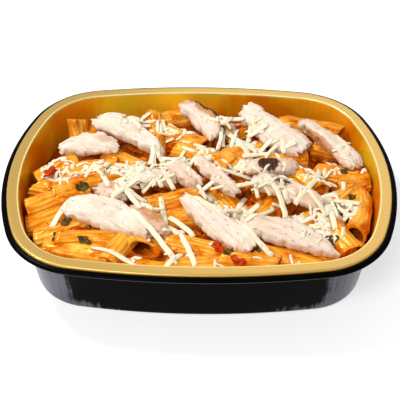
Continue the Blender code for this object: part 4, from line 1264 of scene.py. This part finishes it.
shredShape = newShape()
for number, row in enumerate(shreds):
    addShred(shredShape, ground, row, number, *shredForm["size"])
upper = treeOf(tubeShape, sauceShape, shredShape, *stripShapes)
for number, (draw, lengths, x, y) in enumerate(scatter(shredClusters, shredForm["seed"])):
    length = draw.uniform(*lengths)
    bow = shredForm["bow"]
    row = (x, y, draw.uniform(0.0, 180.0), length, draw.uniform(-bow, bow) * length)
    slim = shredForm["slim"] if lengths[1] < shredForm["short"] else 1.0
    width = slim * draw.uniform(*shredForm["width"])
    depth = slim * draw.uniform(*shredForm["depth"])
    # every third shred lies on the long ones
    addShred(shredShape, upper if number % 3 == 0 else ground, row, 100 + number, width, depth)
makePiece("cheese_shreds", shredShape, [cheese], ["pasta"] + allStrips)

upper = treeOf(tubeShape, sauceShape, shredShape, *stripShapes)
crumbShape = newShape()
for number, (draw, lengths, x, y) in enumerate(scatter(crumbClusters, crumbForm["seed"])):
    row = (x, y, draw.uniform(0.0, 180.0), draw.uniform(*crumbForm["length"]), 0.0)
    width = draw.uniform(*crumbForm["width"])
    depth = draw.uniform(*crumbForm["depth"])
    addShred(crumbShape, upper, row, 900 + number, width, depth)
makePiece("cheese_crumbs", crumbShape, [cheese], ["pasta"])

fleckShape = newShape()
draw = random.Random(fleckForm["seed"])
reachX, reachY = fleckForm["reach"]
for number in range(fleckForm["count"]):
    x = draw.uniform(-reachX, reachX)
    y = draw.uniform(-reachY, reachY)
    if insideTray(x, y, 2.0):
        size = draw.uniform(*fleckForm["size"])
        heading = draw.uniform(0.0, 6.28)
        addFleck(fleckShape, upper, x, y, size, heading, draw.random())
for middleX, middleY, spread, count in fleckForm["clusters"]:
    for number in range(count):
        size = draw.uniform(*fleckForm["clusterSize"])
        x = middleX + draw.gauss(0.0, spread * 0.5)
        y = middleY + draw.gauss(0.0, spread * 0.5)
        heading = draw.uniform(0.0, 6.28)
        addFleck(fleckShape, upper, x, y, size, heading, draw.random())
makePiece("herb_flecks", fleckShape, [herb], ["pasta"])


# Floor, light and camera, in metres and watts.

# name, place, aim, width and height, power
softboxes = (
    ("key", (-0.6, 0.3, 1.0), (0.0, 0.0, 0.03), (0.16, 0.16), 8.2),
    ("back", (0.3, 1.05, 0.95), (0.0, 0.0, 0.04), (0.95, 0.7), 1.8),
    ("front", (-0.3, -0.6, 0.85), (0.0, 0.0, 0.03), (0.35, 0.35), 4.5),
)

# pitch in degrees, yaw and roll in radians, away as the distance from the point that it aims at
cameraForm = {
    "pitch": 42.0, "yaw": -0.0089, "roll": 0.0044, "away": 0.4612, "aim": (0.00065, -0.0267, 0.044),
    "sensor": 36.0, "lens": 74.42, "nearest": 0.01,
}


def makeFloor():
    material = newMaterial(
        "pale_studio_floor", Roughness=0.9, Base_Color=linear("#c8c8c8"),
        Emission_Color=linear("#ffffff"), Emission_Strength=0.6)[0]
    mesh = bpy.data.meshes.new("floor")
    reach = 6.0
    corners = [(-reach, -reach, 0.0), (reach, -reach, 0.0), (reach, reach, 0.0), (-reach, reach, 0.0)]
    mesh.from_pydata(corners, [], [(0, 1, 2, 3)])
    mesh.materials.append(material)
    floor = bpy.data.objects.new("floor", mesh)
    bpy.context.scene.collection.objects.link(floor)


def addSoftbox(name, place, aim, size, power):
    lamp = bpy.data.lights.new(name, "AREA")
    lamp.shape = "RECTANGLE"
    lamp.size, lamp.size_y = size
    lamp.energy = power
    box = bpy.data.objects.new(name, lamp)
    box.location = place
    box.rotation_euler = (Vector(aim) - Vector(place)).to_track_quat("-Z", "Y").to_euler()
    bpy.context.scene.collection.objects.link(box)


def makeCamera():
    pitch = math.radians(cameraForm["pitch"])
    yaw, roll = cameraForm["yaw"], cameraForm["roll"]
    right = Vector((math.cos(yaw), -math.sin(yaw), 0.0))
    ahead = Vector((math.sin(yaw), math.cos(yaw), 0.0))
    up = Vector((0.0, 0.0, 1.0))
    look = ahead * math.cos(pitch) - up * math.sin(pitch)
    top = ahead * math.sin(pitch) + up * math.cos(pitch)
    side = right * math.cos(roll) + top * math.sin(roll)
    top = top * math.cos(roll) - right * math.sin(roll)
    lens = bpy.data.cameras.new("camera")
    lens.sensor_width = cameraForm["sensor"]
    lens.lens = cameraForm["lens"]
    lens.clip_start = cameraForm["nearest"]
    camera = bpy.data.objects.new("camera", lens)
    matrix = Matrix((side, top, -look)).transposed().to_4x4()
    matrix.translation = Vector(cameraForm["aim"]) - look * cameraForm["away"]
    camera.matrix_world = matrix
    bpy.context.scene.collection.objects.link(camera)
    bpy.context.scene.camera = camera


makeFloor()
makeCamera()
for softbox in softboxes:
    addSoftbox(*softbox)
world = bpy.data.worlds.new("studio")
world.use_nodes = True
background = world.node_tree.nodes["Background"]
background.inputs["Color"].default_value = linear("#ffffff")
background.inputs["Strength"].default_value = 0.4
bpy.context.scene.world = world
bpy.context.scene.view_settings.view_transform = "Standard"
